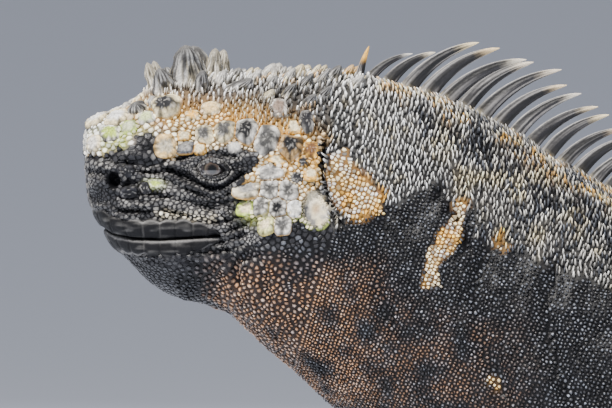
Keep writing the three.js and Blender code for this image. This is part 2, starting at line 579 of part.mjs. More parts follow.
for (const [key, leg] of Object.entries(LEGS)) {
  const size = key.startsWith("fore") ? RADII.fore : RADII.hind;
  const JOINTS = ["shoulder", "elbow", "wrist", "palm"];
  const [shoulder, elbow, wrist, palm] = JOINTS.map((joint) => vec(leg.sign, leg[joint]));
  const upperBow = new THREE.Vector3(0, 0, 4);
  const upper = (thicker) =>
    solid(segment(bowed(shoulder, elbow, UPPER_BONE, upperBow), size.upper, 12, 7, { thicker }));
  const lowerBow = new THREE.Vector3(key.startsWith("fore") ? 3 : -3, leg.sign * 3, 0);
  const lower = (thicker) =>
    solid(segment(bowed(elbow, wrist, LOWER_BONE, lowerBow), size.lower, 10, 7, { thicker }));
  const ahead = palm.clone().sub(wrist).setZ(0).normalize();
  const underfoot = [-8, 0, 8].map((step) => palm.clone().addScaledVector(ahead, step));
  const sole = solid(segment([wrist, ...underfoot], size.palm, 8, 5, { flat: 0.6 }));
  const across = leg.digits.map((_, i) => (i - 2) * -0.42);
  const digits = leg.digits.map(([degrees, reach], i) => {
    const root = palm.clone();
    root.x += 6 + Math.abs(across[i]) * 5;
    root.y += leg.sign * -across[i] * size.palm[2] * 0.8;
    return digit(root, THREE.MathUtils.degToRad(degrees), reach, size.digit, leg.sign);
  });
  const foot = onFloor(joined([sole, ...digits]).subtract(lower(GAP + CLEAR)));
  node(leg.names[0], onFloor(upper(0).subtract(trunkRoom)), HIDE);
  node(leg.names[1], onFloor(lower(0).subtract(upper(GAP + CLEAR))), HIDE);
  node(leg.names[2], foot, HIDE);
}

// Assembly
const iguana = new THREE.Group();
const animal = new THREE.Group();
for (const { name, made, material } of nodes) {
  const mesh = new THREE.Mesh(geometryOf(made), material);
  mesh.name = name;
  animal.add(mesh);
}
const box = new THREE.Box3().setFromObject(animal);
animal.position.set(-(box.min.x + box.max.x) / 2, -(box.min.y + box.max.y) / 2, 0);
iguana.add(animal);

export default iguana;
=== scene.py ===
# %% [markdown]
# # A marine iguana, life size
# The real animal is a grown male: a blunt, knobbly head crusted with dried salt, a deep neck covered
# in tiny upright scales, a tall crest and a long flattened tail. Everything that looks like texture
# from a step away is form close by, so this lesson grows the scales as mesh, one by one, over one
# smooth skin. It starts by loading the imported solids, which fix the sizes and the places.

# %% Frame
import math

import bpy
import numpy as np
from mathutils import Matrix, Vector, kdtree
from mathutils.bvhtree import BVHTree


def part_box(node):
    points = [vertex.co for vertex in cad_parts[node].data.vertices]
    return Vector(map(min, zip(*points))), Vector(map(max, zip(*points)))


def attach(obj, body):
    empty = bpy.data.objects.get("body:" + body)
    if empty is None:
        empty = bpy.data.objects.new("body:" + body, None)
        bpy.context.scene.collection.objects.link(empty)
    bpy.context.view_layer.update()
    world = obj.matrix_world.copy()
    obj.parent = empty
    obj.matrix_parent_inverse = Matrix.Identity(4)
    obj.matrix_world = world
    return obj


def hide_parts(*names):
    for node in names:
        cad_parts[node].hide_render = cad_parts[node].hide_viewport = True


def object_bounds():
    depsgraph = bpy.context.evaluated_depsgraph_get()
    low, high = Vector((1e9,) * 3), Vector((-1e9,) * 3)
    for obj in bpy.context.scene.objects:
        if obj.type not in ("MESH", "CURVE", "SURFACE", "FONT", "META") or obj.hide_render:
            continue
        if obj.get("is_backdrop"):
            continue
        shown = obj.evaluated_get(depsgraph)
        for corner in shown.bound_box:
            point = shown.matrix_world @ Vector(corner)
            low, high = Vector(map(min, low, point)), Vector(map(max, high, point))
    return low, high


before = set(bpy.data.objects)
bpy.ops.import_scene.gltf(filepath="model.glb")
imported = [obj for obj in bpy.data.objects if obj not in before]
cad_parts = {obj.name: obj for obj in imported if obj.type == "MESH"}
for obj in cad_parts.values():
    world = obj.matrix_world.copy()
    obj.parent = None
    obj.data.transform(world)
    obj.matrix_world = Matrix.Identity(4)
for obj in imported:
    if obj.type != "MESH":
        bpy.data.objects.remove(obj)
cad_box = [list(corner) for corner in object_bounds()]
bpy.ops.object.select_all(action="DESELECT")
print("solids span", [round(v, 3) for v in cad_box[0] + cad_box[1]])

# %% [markdown]
# ## Measures
# The body is described by sections from the snout to the tail's tip, as a taxidermist's drawing is.
# Each has a point on the back, one on the underside, a half width, the level where it is widest and
# how square it is above and below. A smooth curve through the same value of all sections gives the
# body everywhere. Lengths are in millimetres here and become metres as they turn into mesh.
# "Behind" is measured from the snout's tip, "high" from the floor and "aside" from the middle plane.

# %% Sections
MM = 0.001
EYE = {"behind": 41.6, "high": 177.0}
NOSTRIL = {"behind": 10.2, "high": 173.8, "wide": 2.0, "tall": 2.6}
EAR = {"behind": 74.2, "high": 164.6, "wide": 4.3, "tall": 5.8}
COAT = 0.8  # how far the skin lies inside the solids, under the scales
FLOOR_SINK = 0.8
SECTIONS = {
    "face": ((0.4, 188.5), (0.6, 177.5), 5.5, 0.5, 2.3, 2.3),
    "muzzle": ((1.8, 192.3), (2.2, 166), 12.5, 0.45, 2.6, 2.4),
    "lipFront": ((5.2, 194.3), (6.0, 158.4), 16.2, 0.42, 2.7, 2.4),
    "nose": ((10.6, 196), (9.6, 152.2), 18.2, 0.42, 2.6, 2.3),
    "chin": ((16.5, 199.2), (14.6, 147), 19.8, 0.42, 2.5, 2.3),
    "foreFace": ((23.5, 203.8), (21.3, 140), 21.2, 0.42, 2.4, 2.2),
    "lores": ((31.5, 206.6), (30, 135.4), 22.6, 0.42, 2.4, 2.2),
    "eye": ((42, 207.7), (40, 133.4), 24.5, 0.42, 2.4, 2.2),
    "brow": ((54, 207.2), (46.8, 130.2), 27.2, 0.42, 2.4, 2.2),
    "jowl": ((67, 207.5), (53, 124.8), 30.2, 0.43, 2.3, 2.2),
    "ear": ((81, 208), (59.8, 118.6), 32.2, 0.44, 2.2, 2.2),
    "nape": ((95, 205.8), (66.8, 112.4), 33, 0.46, 2.1, 2.1),
    "neck": ((121.5, 197.4), (82, 99.4), 36.5, 0.47, 2.1, 2.1),
    "withers": ((153, 179.6), (104, 81.5), 44, 0.47, 2.1, 2.1),
    "shoulder": ((187, 160.5), (134, 61.5), 52, 0.47, 2.2, 2.1),
    "chest": ((226, 141.5), (173, 45), 58.5, 0.46, 2.2, 2.2),
    "ribs": ((271, 122.5), (224, 28), 63.5, 0.44, 2.2, 2.3),
    "flank": ((320, 103.5), (283, 9.5), 62, 0.42, 2.2, 2.4),
    "loin": ((369, 84.5), (342, -0.8), 51, 0.41, 2.2, 2.5),
    "hip": ((411, 69.5), (393, -0.8), 35.5, 0.43, 2.2, 2.4),
}
TAIL = {"sections": 9, "length": 600, "root": (62, 25), "tip": (2.6, 1.1), "vent": 433, "lean": 14}
rows = list(SECTIONS.values())
for i in range(TAIL["sections"] + 1):
    along = (i / TAIL["sections"]) ** 1.25
    (deep, wide), (tip_deep, tip_wide) = TAIL["root"], TAIL["tip"]
    depth = tip_deep + (deep - tip_deep) * (1 - along) ** 1.15
    half = tip_wide + (wide - tip_wide) * ((1 - along) ** 3.2 * 0.62 + (1 - along) * 0.38)
    behind = TAIL["vent"] + TAIL["length"] * along
    under = behind - TAIL["lean"] * (1 - along) ** 3
    rows.append(((behind, depth), (under, -FLOOR_SINK), half, 0.46, 2.1, 2.2))
table = np.array([[*top, *under, *rest] for top, under, *rest in rows], float)
middle = (table[:, :2] + table[:, 2:4]) / 2
knots = np.concatenate([[0], np.cumsum(np.hypot(*np.diff(middle, axis=0).T))])
at = {name: knots[i] for i, name in enumerate(SECTIONS)}
at["vent"] = knots[len(SECTIONS)]
at["tip"] = knots[-1]
print("body measured over", round(at["tip"]), "mm from snout to tail tip")

# %% [markdown]
# The tail swings to the left and back to the right on the floor. Its plan is walked in small steps
# along a heading that follows a sine, and the table of steps is looked up for every point behind
# the hips. Three small functions come first that the whole lesson uses: a bell, a blob and an oval,
# the soft shapes that swellings, lids and stains are made of.

# %% Soft shapes


def bell(away, width):
    """1 where away is 0, and next to nothing two widths off."""
    return np.exp(-((away / width) ** 2))


def blob(behind, high, x, z, long, tall, power=2):
    """A bell round the spot x, z, seen from the side; a higher power makes its top flatter."""
    return np.exp(-(((behind - x) / long) ** power) - ((high - z) / tall) ** power)


def from_oval(behind, high, spot, long=None, tall=None):
    """Distance from a spot seen from the side, as a share of the oval round it: 1 on its edge."""
    long, tall = long or spot["wide"], tall or spot["tall"]
    return np.hypot((behind - spot["behind"]) / long, (high - spot["high"]) / tall)


def around(arms, offset=0):
    """Angles all round, one for each arm."""
    return (np.arange(arms) + offset) / arms * 2 * np.pi


# %% Points of the body
SWING = {"start": 440, "heading": 0.62, "wave": 640, "step": 2.0, "spare": 60}


def through(places, values, s):
    """Smooth curve through values at places, read at s."""
    values = np.asarray(values, float)
    places = np.asarray(places, float)
    slope = np.empty_like(values)
    slope[1:-1] = (values[2:] - values[:-2]) / (places[2:] - places[:-2])
    slope[0] = (values[1] - values[0]) / (places[1] - places[0])
    slope[-1] = (values[-1] - values[-2]) / (places[-1] - places[-2])
    i = np.clip(np.searchsorted(places, s, side="right") - 1, 0, len(places) - 2)
    span = places[i + 1] - places[i]
    t = (s - places[i]) / span
    rise = values[i + 1] - values[i]
    bow = t * (1 - t) * ((1 - t) * (slope[i] * span - rise) + t * (rise - slope[i + 1] * span))
    return values[i] + rise * t + bow


def tail_heading(behind):
    """The tail's heading in plan, behind the start of its swing."""
    return -SWING["heading"] * np.sin(2 * np.pi * (behind - SWING["start"]) / SWING["wave"])


plan_end = SWING["start"] + TAIL["length"] + SWING["spare"]
plan_at = np.arange(SWING["start"], plan_end, SWING["step"])
headings = tail_heading(plan_at + SWING["step"] / 2)
plan_x = SWING["start"] + np.concatenate([[0], np.cumsum(np.cos(headings))]) * SWING["step"]
plan_y = np.concatenate([[0], np.cumsum(np.sin(headings))]) * SWING["step"]
plan_at = np.append(plan_at, plan_at[-1] + SWING["step"])


def on_plan(behind, aside, high):
    """Carries a straight body's point onto the tail's curve."""
    back = np.maximum(behind, SWING["start"])
    turn = np.where(behind > SWING["start"], tail_heading(back), 0)
    before = np.minimum(behind - SWING["start"], 0)
    x = np.interp(back, plan_at, plan_x) - np.sin(turn) * aside + before
    y = np.interp(back, plan_at, plan_y) + np.cos(turn) * aside
    return np.stack([x, y, high], -1)


SWELLINGS = [  # behind, high, reach along, reach up, rise: eye, brow, hollow, nose, lips, jaw, ear
    (42, 177, 8.5, 6.5, 2.6), (50, 188.5, 15, 5, 2.2), (27, 175, 7, 6, -2.0), (9, 175, 7, 8, 1.8),
    (24, 159.6, 20, 2.6, 1.4), (26, 150.5, 17, 3.6, 1.5), (60, 155, 11, 13, 3.4),
    (38, 142.5, 14, 2.4, -1.0), (74, 164, 6, 8, -1.4),
]


def body_point(s, turn, thicker=0.0):
    """Skin at s, turned from the back (0) over the left side (a quarter) to the underside."""
    s, turn = np.broadcast_arrays(np.asarray(s, float), np.asarray(turn, float))
    top_x, top_z, low_x, low_z, half, level, upper, lower = (
        through(knots, column, s) for column in table.T
    )
    c, d = np.cos(turn), np.sin(turn)
    square = np.where(c > 0, upper, lower)
    share = level + np.sign(c) * np.abs(c) ** (2 / square) * np.where(c > 0, 1 - level, level)
    share = share + c * thicker / np.hypot(top_x - low_x, top_z - low_z)
    behind = low_x + (top_x - low_x) * share
    high = low_z + (top_z - low_z) * share
    swell = np.zeros_like(behind)
    for *place, rise in SWELLINGS:
        swell += rise * blob(behind, high, *place)
    swell = np.where(s < at["neck"], swell, 0)
    out = (half + swell) * np.abs(d) ** (2 / square) + np.abs(d) * thicker
    return on_plan(behind, -np.sign(d) * out, high)


eye_low, eye_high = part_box("eye_left")
right_low, right_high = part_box("eye_right")
SHIFT = np.array([
    (eye_low[0] + eye_high[0]) / 2 / MM - EYE["behind"],
    (eye_low[1] + right_high[1]) / 2 / MM,
    0.0,
])
eye_aside = (right_low[1] + right_high[1]) / 2 / MM - SHIFT[1]
print("eye stands", round(eye_aside, 1), "mm aside; the body is shifted by", SHIFT.round(1))

# %% [markdown]
# ## Making mesh from numbers
# Blender can be handed whole arrays of points and faces, which is far quicker than adding them one
# by one. Faces of one piece all have the same number of corners. Every function here speaks in
# millimetres of the body's own measure, and only the mesh itself holds metres.

# %% Mesh helpers


def read(items, what, width=3, kind=np.float32):
    """A value of all items of a mesh as one array, a row of width numbers for each item."""
    flat = np.empty(len(items) * width, kind)
    items.foreach_get(what, flat)
    return flat.reshape(-1, width)


def new_mesh(name, points, faces):
    """Mesh object from points and an array of faces."""
    mesh = bpy.data.meshes.new(name)
    points = (np.asarray(points, float) + SHIFT) * MM
    faces = np.asarray(faces, np.int32)
    starts = np.arange(0, faces.size, faces.shape[1], dtype=np.int32)
    mesh.vertices.add(len(points))
    mesh.vertices.foreach_set("co", points.astype(np.float32).ravel())
    mesh.loops.add(faces.size)
    mesh.loops.foreach_set("vertex_index", faces.ravel())
    mesh.polygons.add(len(faces))
    mesh.polygons.foreach_set("loop_start", starts)
    mesh.update(calc_edges=True)
    mesh.validate()
    made = bpy.data.objects.new(name, mesh)
    bpy.context.collection.objects.link(made)
    return made


def points_of(obj):
    """The object's points."""
    return read(obj.data.vertices, "co").astype(float) / MM - SHIFT


def move_points(obj, points):
    """Gives the object new points."""
    flat = ((points + SHIFT) * MM).astype(np.float32).ravel()
    obj.data.vertices.foreach_set("co", flat)
    obj.data.update()


def normals_of(obj):
    """The outward direction at each of the object's points."""
    return read(obj.data.vertex_normals, "vector").astype(float)


def choose(obj):
    """Makes obj the only selected object, and the active one."""
    bpy.ops.object.select_all(action="DESELECT")
    obj.select_set(True)
    bpy.context.view_layer.objects.active = obj


def tube(name, sides, along, place):
    """A closed tube from a grid primitive: its columns run round, its rows along the body."""
    bpy.ops.mesh.primitive_grid_add(x_subdivisions=sides, y_subdivisions=len(along) - 1, size=1)
    made = bpy.context.object
    made.name = made.data.name = name
    grid = read(made.data.vertices, "co")
    turn = (grid[:, 0] + 0.5) * 2 * np.pi
    step = np.rint((grid[:, 1] + 0.5) * (len(along) - 1)).astype(int)
    move_points(made, place(np.asarray(along)[step], turn))
    choose(made)
    bpy.ops.object.mode_set(mode="EDIT")
    bpy.ops.mesh.select_all(action="SELECT")
    bpy.ops.mesh.remove_doubles(threshold=0.00001)
    bpy.ops.mesh.select_all(action="DESELECT")
    bpy.ops.mesh.select_non_manifold()
    bpy.ops.mesh.fill()
    bpy.ops.mesh.select_all(action="SELECT")
    bpy.ops.mesh.normals_make_consistent(inside=False)
    bpy.ops.object.mode_set(mode="OBJECT")
    return made


# %% [markdown]
# ## Flesh
# The trunk, with head and tail, is one long tube through the sections. Each leg is three rounded
# tubes, and each digit one more. They are only the clay: a voxel remesh fuses them into one closed
# skin, so the legs grow out of the flanks with no seam, and a little smoothing fills the creases.

# %% Legs and digits
LEGS = {
    "fore_left": {
        "sign": -1, "shoulder": (176, 34, 92), "elbow": (207, 90, 64), "wrist": (180, 104, 14),
        "palm": (163, 106, 6), "digits": ((40, 17), (15, 25), (-6, 29), (-28, 27), (-58, 19)),
    },
    "fore_right": {
        "sign": 1, "shoulder": (178, 34, 91), "elbow": (214, 88, 64), "wrist": (191, 104, 14),
        "palm": (174, 107, 6), "digits": ((38, 17), (14, 25), (-8, 29), (-30, 27), (-60, 19)),
    },
    "hind_left": {
        "sign": -1, "shoulder": (398, 20, 42), "elbow": (356, 88, 55), "wrist": (404, 108, 15),
        "palm": (384, 118, 6.4), "digits": ((34, 16), (12, 26), (-8, 35), (-26, 44), (-56, 26)),
    },
    "hind_right": {
        "sign": 1, "shoulder": (398, 20, 42), "elbow": (362, 90, 54), "wrist": (412, 106, 15),
        "palm": (393, 119, 6.4), "digits": ((30, 16), (8, 26), (-12, 35), (-30, 44), (-60, 26)),
    },
}
RADII = {
    "fore": {
        "upper": (23, 20, 15.5, 12.5), "lower": (13, 14, 10.5, 8),
        "palm": (8.6, 11, 12, 10.5), "digit": 3.6,
    },
    "hind": {
        "upper": (28, 26, 20, 15), "lower": (15.5, 16, 11.5, 8.6),
        "palm": (9, 12, 13, 11), "digit": 4.0,
    },
}
UPPER_BONE = (0, 0.33, 0.67, 1.12)  # shares of the way from joint to joint, with an overlap
LOWER_BONE = (-0.14, 0.3, 0.65, 1.06)
PALM = {"fan": 0.42, "ahead": 6, "curve": 5, "across": 0.8}  # where the digits leave it
DIGIT = ((0, 1.6, 1.05), (0.4, 1.4, 0.98), (0.84, 0.42, 0.8), (1, 0.55, 0.5))  # share, height, half


def segment_place(points, radii, flat=1.0, blunt=0.16, thicker=0.0):
    """place(t, turn) of a rounded limb segment through points."""
    points = np.asarray(points, float)
    stops = np.linspace(0, 1, len(points))

    def centre(t):
        return np.stack([through(stops, points[:, k], t) for k in range(3)], -1)

    def place(t, turn):
        t = np.asarray(t, float)
        ahead = centre(np.minimum(t + 0.01, 1)) - centre(np.maximum(t - 0.01, 0))
        ahead /= np.linalg.norm(ahead, axis=-1, keepdims=True)
        side = np.cross(ahead, (0, 0, 1))
        side /= np.linalg.norm(side, axis=-1, keepdims=True)
        top = np.cross(side, ahead)
        end = np.minimum(t, 1 - t) / blunt
        round_end = np.where(end < 1, np.sqrt(np.maximum(1 - (1 - end) ** 2 * 0.93, 0)), 1)
        r = through(stops, radii, t) * round_end + thicker
        up = top * (np.cos(turn) * r * flat)[..., None]
        return centre(t) + up + side * (np.sin(turn) * r)[..., None]

    return place


def joint(leg, name):
    """A joint's place, with the leg's own side."""
    behind, aside, high = leg[name]
    return np.array([behind, leg["sign"] * aside, high], float)


def bone(leg, start, end, shares, bow):
    """Points along a bone with its bow."""
    a, b = joint(leg, start), joint(leg, end)
    return [a + (b - a) * t + np.array(bow) * math.sin(math.pi * t) for t in shares]


def digit_roots(leg, size):
    """Where each digit leaves the palm, its heading and its reach."""
    palm = joint(leg, "palm")
    for i, (degrees, reach) in enumerate(leg["digits"]):
        across = (i - 2) * -PALM["fan"]
        ahead = PALM["ahead"] + abs(across) * PALM["curve"]
        aside = leg["sign"] * -across * size["palm"][2] * PALM["across"]
        root = palm + np.array([ahead, aside, 0])
        angle = math.radians(degrees)
        yield root, np.array([-math.cos(angle), -leg["sign"] * math.sin(angle), 0]), reach


def digit_place(root, heading, reach, radius):
    """place(t, turn) of a digit that bends up at its knuckle and rests its end on the floor."""
    stops, high, thick = np.array(DIGIT).T
    side = np.cross(heading, (0, 0, 1))

    def place(t, turn):
        out = np.interp(t, stops, thick) * radius * np.sqrt(np.clip((1.02 - t) / 0.12, 0, 1))
        point = root + heading * (np.clip(t, 0, 1) * reach)[..., None]
        point = point + side * (np.sin(turn) * out)[..., None]
        point[..., 2] = np.interp(t, stops, high) * radius + np.cos(turn) * out
        return point

    return place


limbs = {}
for leg_name, leg in LEGS.items():
    size = RADII[leg_name[:4]]
    lower_bow = (3 if leg_name.startswith("fore") else -3, leg["sign"] * 3, 0)
    palm, wrist = joint(leg, "palm"), joint(leg, "wrist")
    ahead = (palm - wrist) * (1, 1, 0)
    ahead /= np.linalg.norm(ahead)
    upper = bone(leg, "shoulder", "elbow", UPPER_BONE, (0, 0, 4))
    lower = bone(leg, "elbow", "wrist", LOWER_BONE, lower_bow)
    sole = [wrist] + [palm + ahead * step for step in (-8, 0, 8)]
    limbs[leg_name] = {
        "upper": segment_place(upper, size["upper"], thicker=-COAT),
        "lower": segment_place(lower, size["lower"], thicker=-COAT),
        "sole": segment_place(sole, size["palm"], flat=0.6, thicker=-COAT / 2),
    }
    for i, (root, heading, reach) in enumerate(digit_roots(leg, size)):
        limbs[leg_name][f"digit_{i + 1}"] = digit_place(root, heading, reach, size["digit"] - COAT / 2)
print(len(limbs), "legs of", len(limbs["fore_left"]), "forms each")

# %% Skin
VOXEL = 2.55
THIN_TAIL = {"long": 130, "spare": 1.5}  # a voxel can't hold so thin a tip, so it is fattened first
RINGS = {"head": 90, "trunk": 280, "limb": 28}
SIDES = {"body": 144, "limb": 24}
head_rings = np.linspace(0, 1, RINGS["head"]) ** 1.2 * at["nape"]  # closer together at the snout
trunk_rings = np.linspace(at["nape"], at["tip"], RINGS["trunk"])[1:]
limb_rings = np.linspace(0, 1, RINGS["limb"])


def bare_body(s, turn):
    """The body without its coat, which is thinner towards the tail's tip."""
    return body_point(s, turn, -COAT * np.clip((at["tip"] - s) / THIN_TAIL["long"], 0.2, 1))


clay = [tube("skin", SIDES["body"], np.concatenate([head_rings, trunk_rings]), bare_body)]
for leg_name, forms in limbs.items():
    for form_name, place in forms.items():
        clay.append(tube(f"{leg_name}_{form_name}", SIDES["limb"], limb_rings, place))
bpy.ops.object.select_all(action="DESELECT")
for lump in clay:
    lump.select_set(True)
skin = clay[0]
bpy.context.view_layer.objects.active = skin
bpy.ops.object.join()
mould = BVHTree.FromObject(skin, bpy.context.evaluated_depsgraph_get())
clay_points = points_of(skin)
thin_from = clay_points[:, 0].max() - THIN_TAIL["long"]
thin = np.clip((clay_points[:, 0] - thin_from) / THIN_TAIL["long"], 0, 1)
move_points(skin, clay_points + normals_of(skin) * (THIN_TAIL["spare"] * thin)[:, None])
fuse = skin.modifiers.new("fuse", "REMESH")
fuse.mode = "VOXEL"
fuse.voxel_size = VOXEL * MM
bpy.ops.object.modifier_apply(modifier="fuse")
ease = skin.modifiers.new("ease", "SMOOTH")
ease.factor = 0.5
ease.iterations = 5
bpy.ops.object.modifier_apply(modifier="ease")
print("skin has", len(skin.data.polygons), "faces after the remesh")

# %% [markdown]
# The remesh is even all over, yet the face needs far finer clay than the belly. Faces are chosen by
# their place and subdivided, first over the whole head, then round the eyes, nostrils and mouth.
# After each step the points go back onto the clay's true surface, unless a crease was filled there.

# %% Finer clay for the face
CREASE = 1.6  # the smoothing may keep a point this far from the clay, in millimetres
HEAD_END = {"behind": 95, "high": 206, "lean": 0.3}  # a slanting line, seen from the side
MOUTH_HIGH = {"wide": 156, "close": 156.5}


def settle(obj):
    """Moves points back towards the clay where it is near, so that smoothing thins nothing."""
    points = points_of(obj)
    world = (points + SHIFT) * MM
    for i, place in enumerate(world):
        spot, _, _, gap = mould.find_nearest(Vector(place))
        if gap < CREASE * MM or points[i, 0] > thin_from:
            fade = 1 if points[i, 0] > thin_from else 1 - (gap / (CREASE * MM)) ** 2
            world[i] = place + (np.array(spot) - place) * fade
    move_points(obj, world / MM - SHIFT)


def refine(obj, wanted):
    """Subdivides the faces whose middle passes the test wanted(behind, aside, high)."""
    middle = read(obj.data.polygons, "center") / MM - SHIFT
    chosen = wanted(middle[:, 0], np.abs(middle[:, 1]), middle[:, 2])
    choose(obj)
    bpy.ops.object.mode_set(mode="EDIT")
    bpy.ops.mesh.select_all(action="DESELECT")
    bpy.ops.object.mode_set(mode="OBJECT")
    obj.data.polygons.foreach_set("select", chosen)
    bpy.ops.object.mode_set(mode="EDIT")
    bpy.ops.mesh.select_mode(type="FACE")
    bpy.ops.mesh.subdivide(number_cuts=1)
    bpy.ops.object.mode_set(mode="OBJECT")
    print("refined", int(chosen.sum()), "faces")


def in_head(behind, aside, high):
    """True in front of the line where the head ends."""
    return behind < HEAD_END["behind"] - (HEAD_END["high"] - high) * HEAD_END["lean"]


def in_face(behind, aside, high):
    """True round the eye, the nostril, the mouth and the ear."""
    eye = from_oval(behind, high, EYE, 13, 11) < 1
    nostril = from_oval(behind, high, NOSTRIL, 1, 1) < 6
    mouth = (behind < 47) & (np.abs(high - MOUTH_HIGH["wide"]) < 8)
    ear = from_oval(behind, high, EAR, 7, 9) < 1
    return (eye | nostril | mouth | ear) & (aside > 3) | (mouth & (behind < 12))


def in_lids(behind, aside, high):
    """True on the lids, the nostril's rim and the lips."""
    eye = from_oval(behind, high, EYE, 7, 5) < 1
    nostril = from_oval(behind, high, NOSTRIL, 1, 1) < 4
    lips = (np.abs(high - MOUTH_HIGH["close"]) < 6.8) & (behind < 46)
    return (eye | nostril) & (aside > 5) | lips


settle(skin)
for wanted in (in_head, in_face, in_lids):
    refine(skin, wanted)
    settle(skin)
print("skin has", len(skin.data.polygons), "faces")

# %% [markdown]
# ## Relief of the face
# Lids, mouth, nostrils, ear and folds are all the same thing to a sculptor: a line or an oval that
# is pressed in or raised. So each is a distance, seen from the side, turned into a push along the
# skin's normal. A sculpt by hand would give the same, but could not be changed by a number.

# %% Lines and noise


def from_line(behind, high, line):
    """Distance from points to a line through a few places, seen from the side."""
    nearest = np.full(behind.shape, 1e6)
    for (x0, z0), (x1, z1) in zip(line, line[1:]):
        run, rise = x1 - x0, z1 - z0
        share = np.clip(((behind - x0) * run + (high - z0) * rise) / (run * run + rise * rise), 0, 1)
        nearest = np.minimum(nearest, np.hypot(behind - x0 - share * run, high - z0 - share * rise))
    return nearest


def near_line(behind, high, line, width):
    """1 on a line, and next to nothing two widths off it."""
    return bell(from_line(behind, high, line), width)


def inside(behind, high, outline):
    """True for points inside a closed outline, seen from the side."""
    result = np.zeros(behind.shape, bool)
    for (x0, z0), (x1, z1) in zip(outline, outline[1:] + outline[:1]):
        if z0 != z1:
            level = (z0 > high) != (z1 > high)
            result ^= level & (behind < (x1 - x0) * (high - z0) / (z1 - z0) + x0)
    return result


def ease_in(low, high, value):
    """0 below low, 1 above high and smooth between."""
    share = np.clip((value - low) / (high - low), 0, 1)
    return share * share * (3 - 2 * share)


def noise(points, size, seed=0):
    """Smooth noise from 0 to 1 over points, its bumps about size millimetres across."""
    spots = np.asarray(points, float) / size
    cell = np.floor(spots).astype(np.int64)
    part = spots - cell
    part = part * part * (3 - 2 * part)
    total = np.zeros(len(spots))
    for corner in np.ndindex(2, 2, 2):
        key = (cell + corner) @ np.array([73856093, 19349663, 83492791]) + seed * 26544357
        key = ((key ^ (key >> 13)) * 12741261) & 0x7FFFFFFF
        value = ((key ^ (key >> 15)) & 0xFFFF) / 0xFFFF
        total += value * np.prod(np.where(corner, part, 1 - part), -1)
    return total


# %% Relief
MOUTH = [(-6, 158.9), (6.4, 158.6), (10, 156.4), (16.3, 155.2), (25, 154.9), (34, 155.4), (42.6, 156)]
LIPS = {"upper": 5.3, "lower": 4.7, "corner": 44.5, "shield": 5.2, "scallop": 0.8}
CHIN = {"behind": 22, "round": 18}  # in front of this the lips run round the snout
SLIT = {"long": 3.5, "tall": 1.7, "tilt": 0.1, "behind": 0.4}  # its middle lies behind the eye's
LOWEST = 0.03  # no point of the skin sinks below this height
NECK_CRACK = [(76.8, 185.3), (76.2, 179.6), (76.2, 173.8), (77.8, 168.7), (79.4, 164.8), (81.9, 159.1)]
CRACK_BRANCH = [(72, 174.4), (74.2, 171.9), (76.5, 168.4), (78.4, 165.5)]
BOSSES = [(16.8, 183.2, 5.2, 4.4), (54.2, 180.2, 3.2, 3.2)]  # behind, high, half length, half height
FOLDS = [  # line, half width, depth
    ([(27.5, 177.2), (31, 175.2), (35.5, 172.6), (41, 171), (47, 172.4), (51, 175.6)], 0.7, 1.2),
    ([(26, 174), (31.5, 171.6), (38, 169.2), (45, 168.8), (50.5, 171)], 0.7, 1.1),
    ([(21, 169), (30.7, 167.6), (38.7, 165.4), (45.1, 162.2), (48.6, 157.8)], 0.8, 1.2),
    ([(12, 164), (22, 164.4), (31, 163.6), (40, 161.4)], 0.6, 1.0),
    ([(30, 180.4), (36, 182), (43, 182.2), (49.5, 180.6)], 0.8, 1.2),
    ([(13.5, 179), (18, 176.6), (24, 175.8), (29, 177.4)], 0.7, 1.0),
    ([(42.4, 156), (45.4, 153.2), (48.2, 148.4), (49.6, 141)], 1.2, 1.2),
    ([(49.5, 160), (54, 153), (57.5, 146), (59, 137)], 1.4, 0.8),
    (NECK_CRACK, 0.75, 2.0), (CRACK_BRANCH, 0.5, 1.2),
    ([(113.9, 171), (115.6, 166), (119.6, 160), (122, 151)], 1.2, 1.4),
    ([(96, 163), (93, 152), (94, 138), (99, 126)], 2.2, 0.9),
    ([(128, 151), (124, 138), (126, 122), (133, 108)], 2.6, 1.2),
    ([(150, 146), (146, 132), (149, 116), (158, 98)], 2.8, 1.3),
]


def wrinkles(points):
    """Noise stretched along lines that sag round the eye, 0 in a groove and 1 on a ridge."""
    under_eye = bell(points[:, 0] - EYE["behind"], 13)
    sag = points[:, 2] + 5.5 * under_eye * ease_in(182, 172, points[:, 2])
    flowing = np.stack([points[:, 0] * 0.32, points[:, 1] * 0.5, sag * 1.5], -1)
    return ease_in(0.28, 0.72, noise(flowing, 2.3, 23))


def from_slit(behind, high):
    """Distance from the edge of the almond-shaped slit between the lids, negative inside it."""
    x = behind - EYE["behind"] - SLIT["behind"]
    z = high - EYE["high"] + SLIT["tilt"] * x
    radius = (SLIT["long"] ** 2 + SLIT["tall"] ** 2) / (2 * SLIT["tall"])
    drop = radius - SLIT["tall"]
    return np.maximum(np.hypot(x, z - drop), np.hypot(x, z + drop)) - radius


def lip_place(points):
    """Height over the mouth line, the lip's share that it is, and the nearest suture's distance."""
    behind, aside = points[:, 0], np.abs(points[:, 1])
    bend = np.arctan2(aside, CHIN["behind"] - np.minimum(behind, CHIN["behind"]))
    run = CHIN["round"] * bend + np.maximum(behind - CHIN["behind"], 0)
    run = run / LIPS["shield"] + 0.16 * (noise(points * (1, 1, 0), 6, 24) - 0.5)
    off = points[:, 2] - np.interp(behind, *np.array(MOUTH).T)
    taper = np.sqrt(np.clip((LIPS["corner"] - behind) / 12, 0, 1))
    arch = LIPS["scallop"] * np.abs(np.sin(np.pi * run))
    reach = (np.where(off > 0, LIPS["upper"], LIPS["lower"]) + arch) * taper
    share = np.where(behind < LIPS["corner"], off / np.maximum(reach, 0.3), 9)
    return off, share, np.abs((run + 0.5) % 1 - 0.5) * LIPS["shield"]


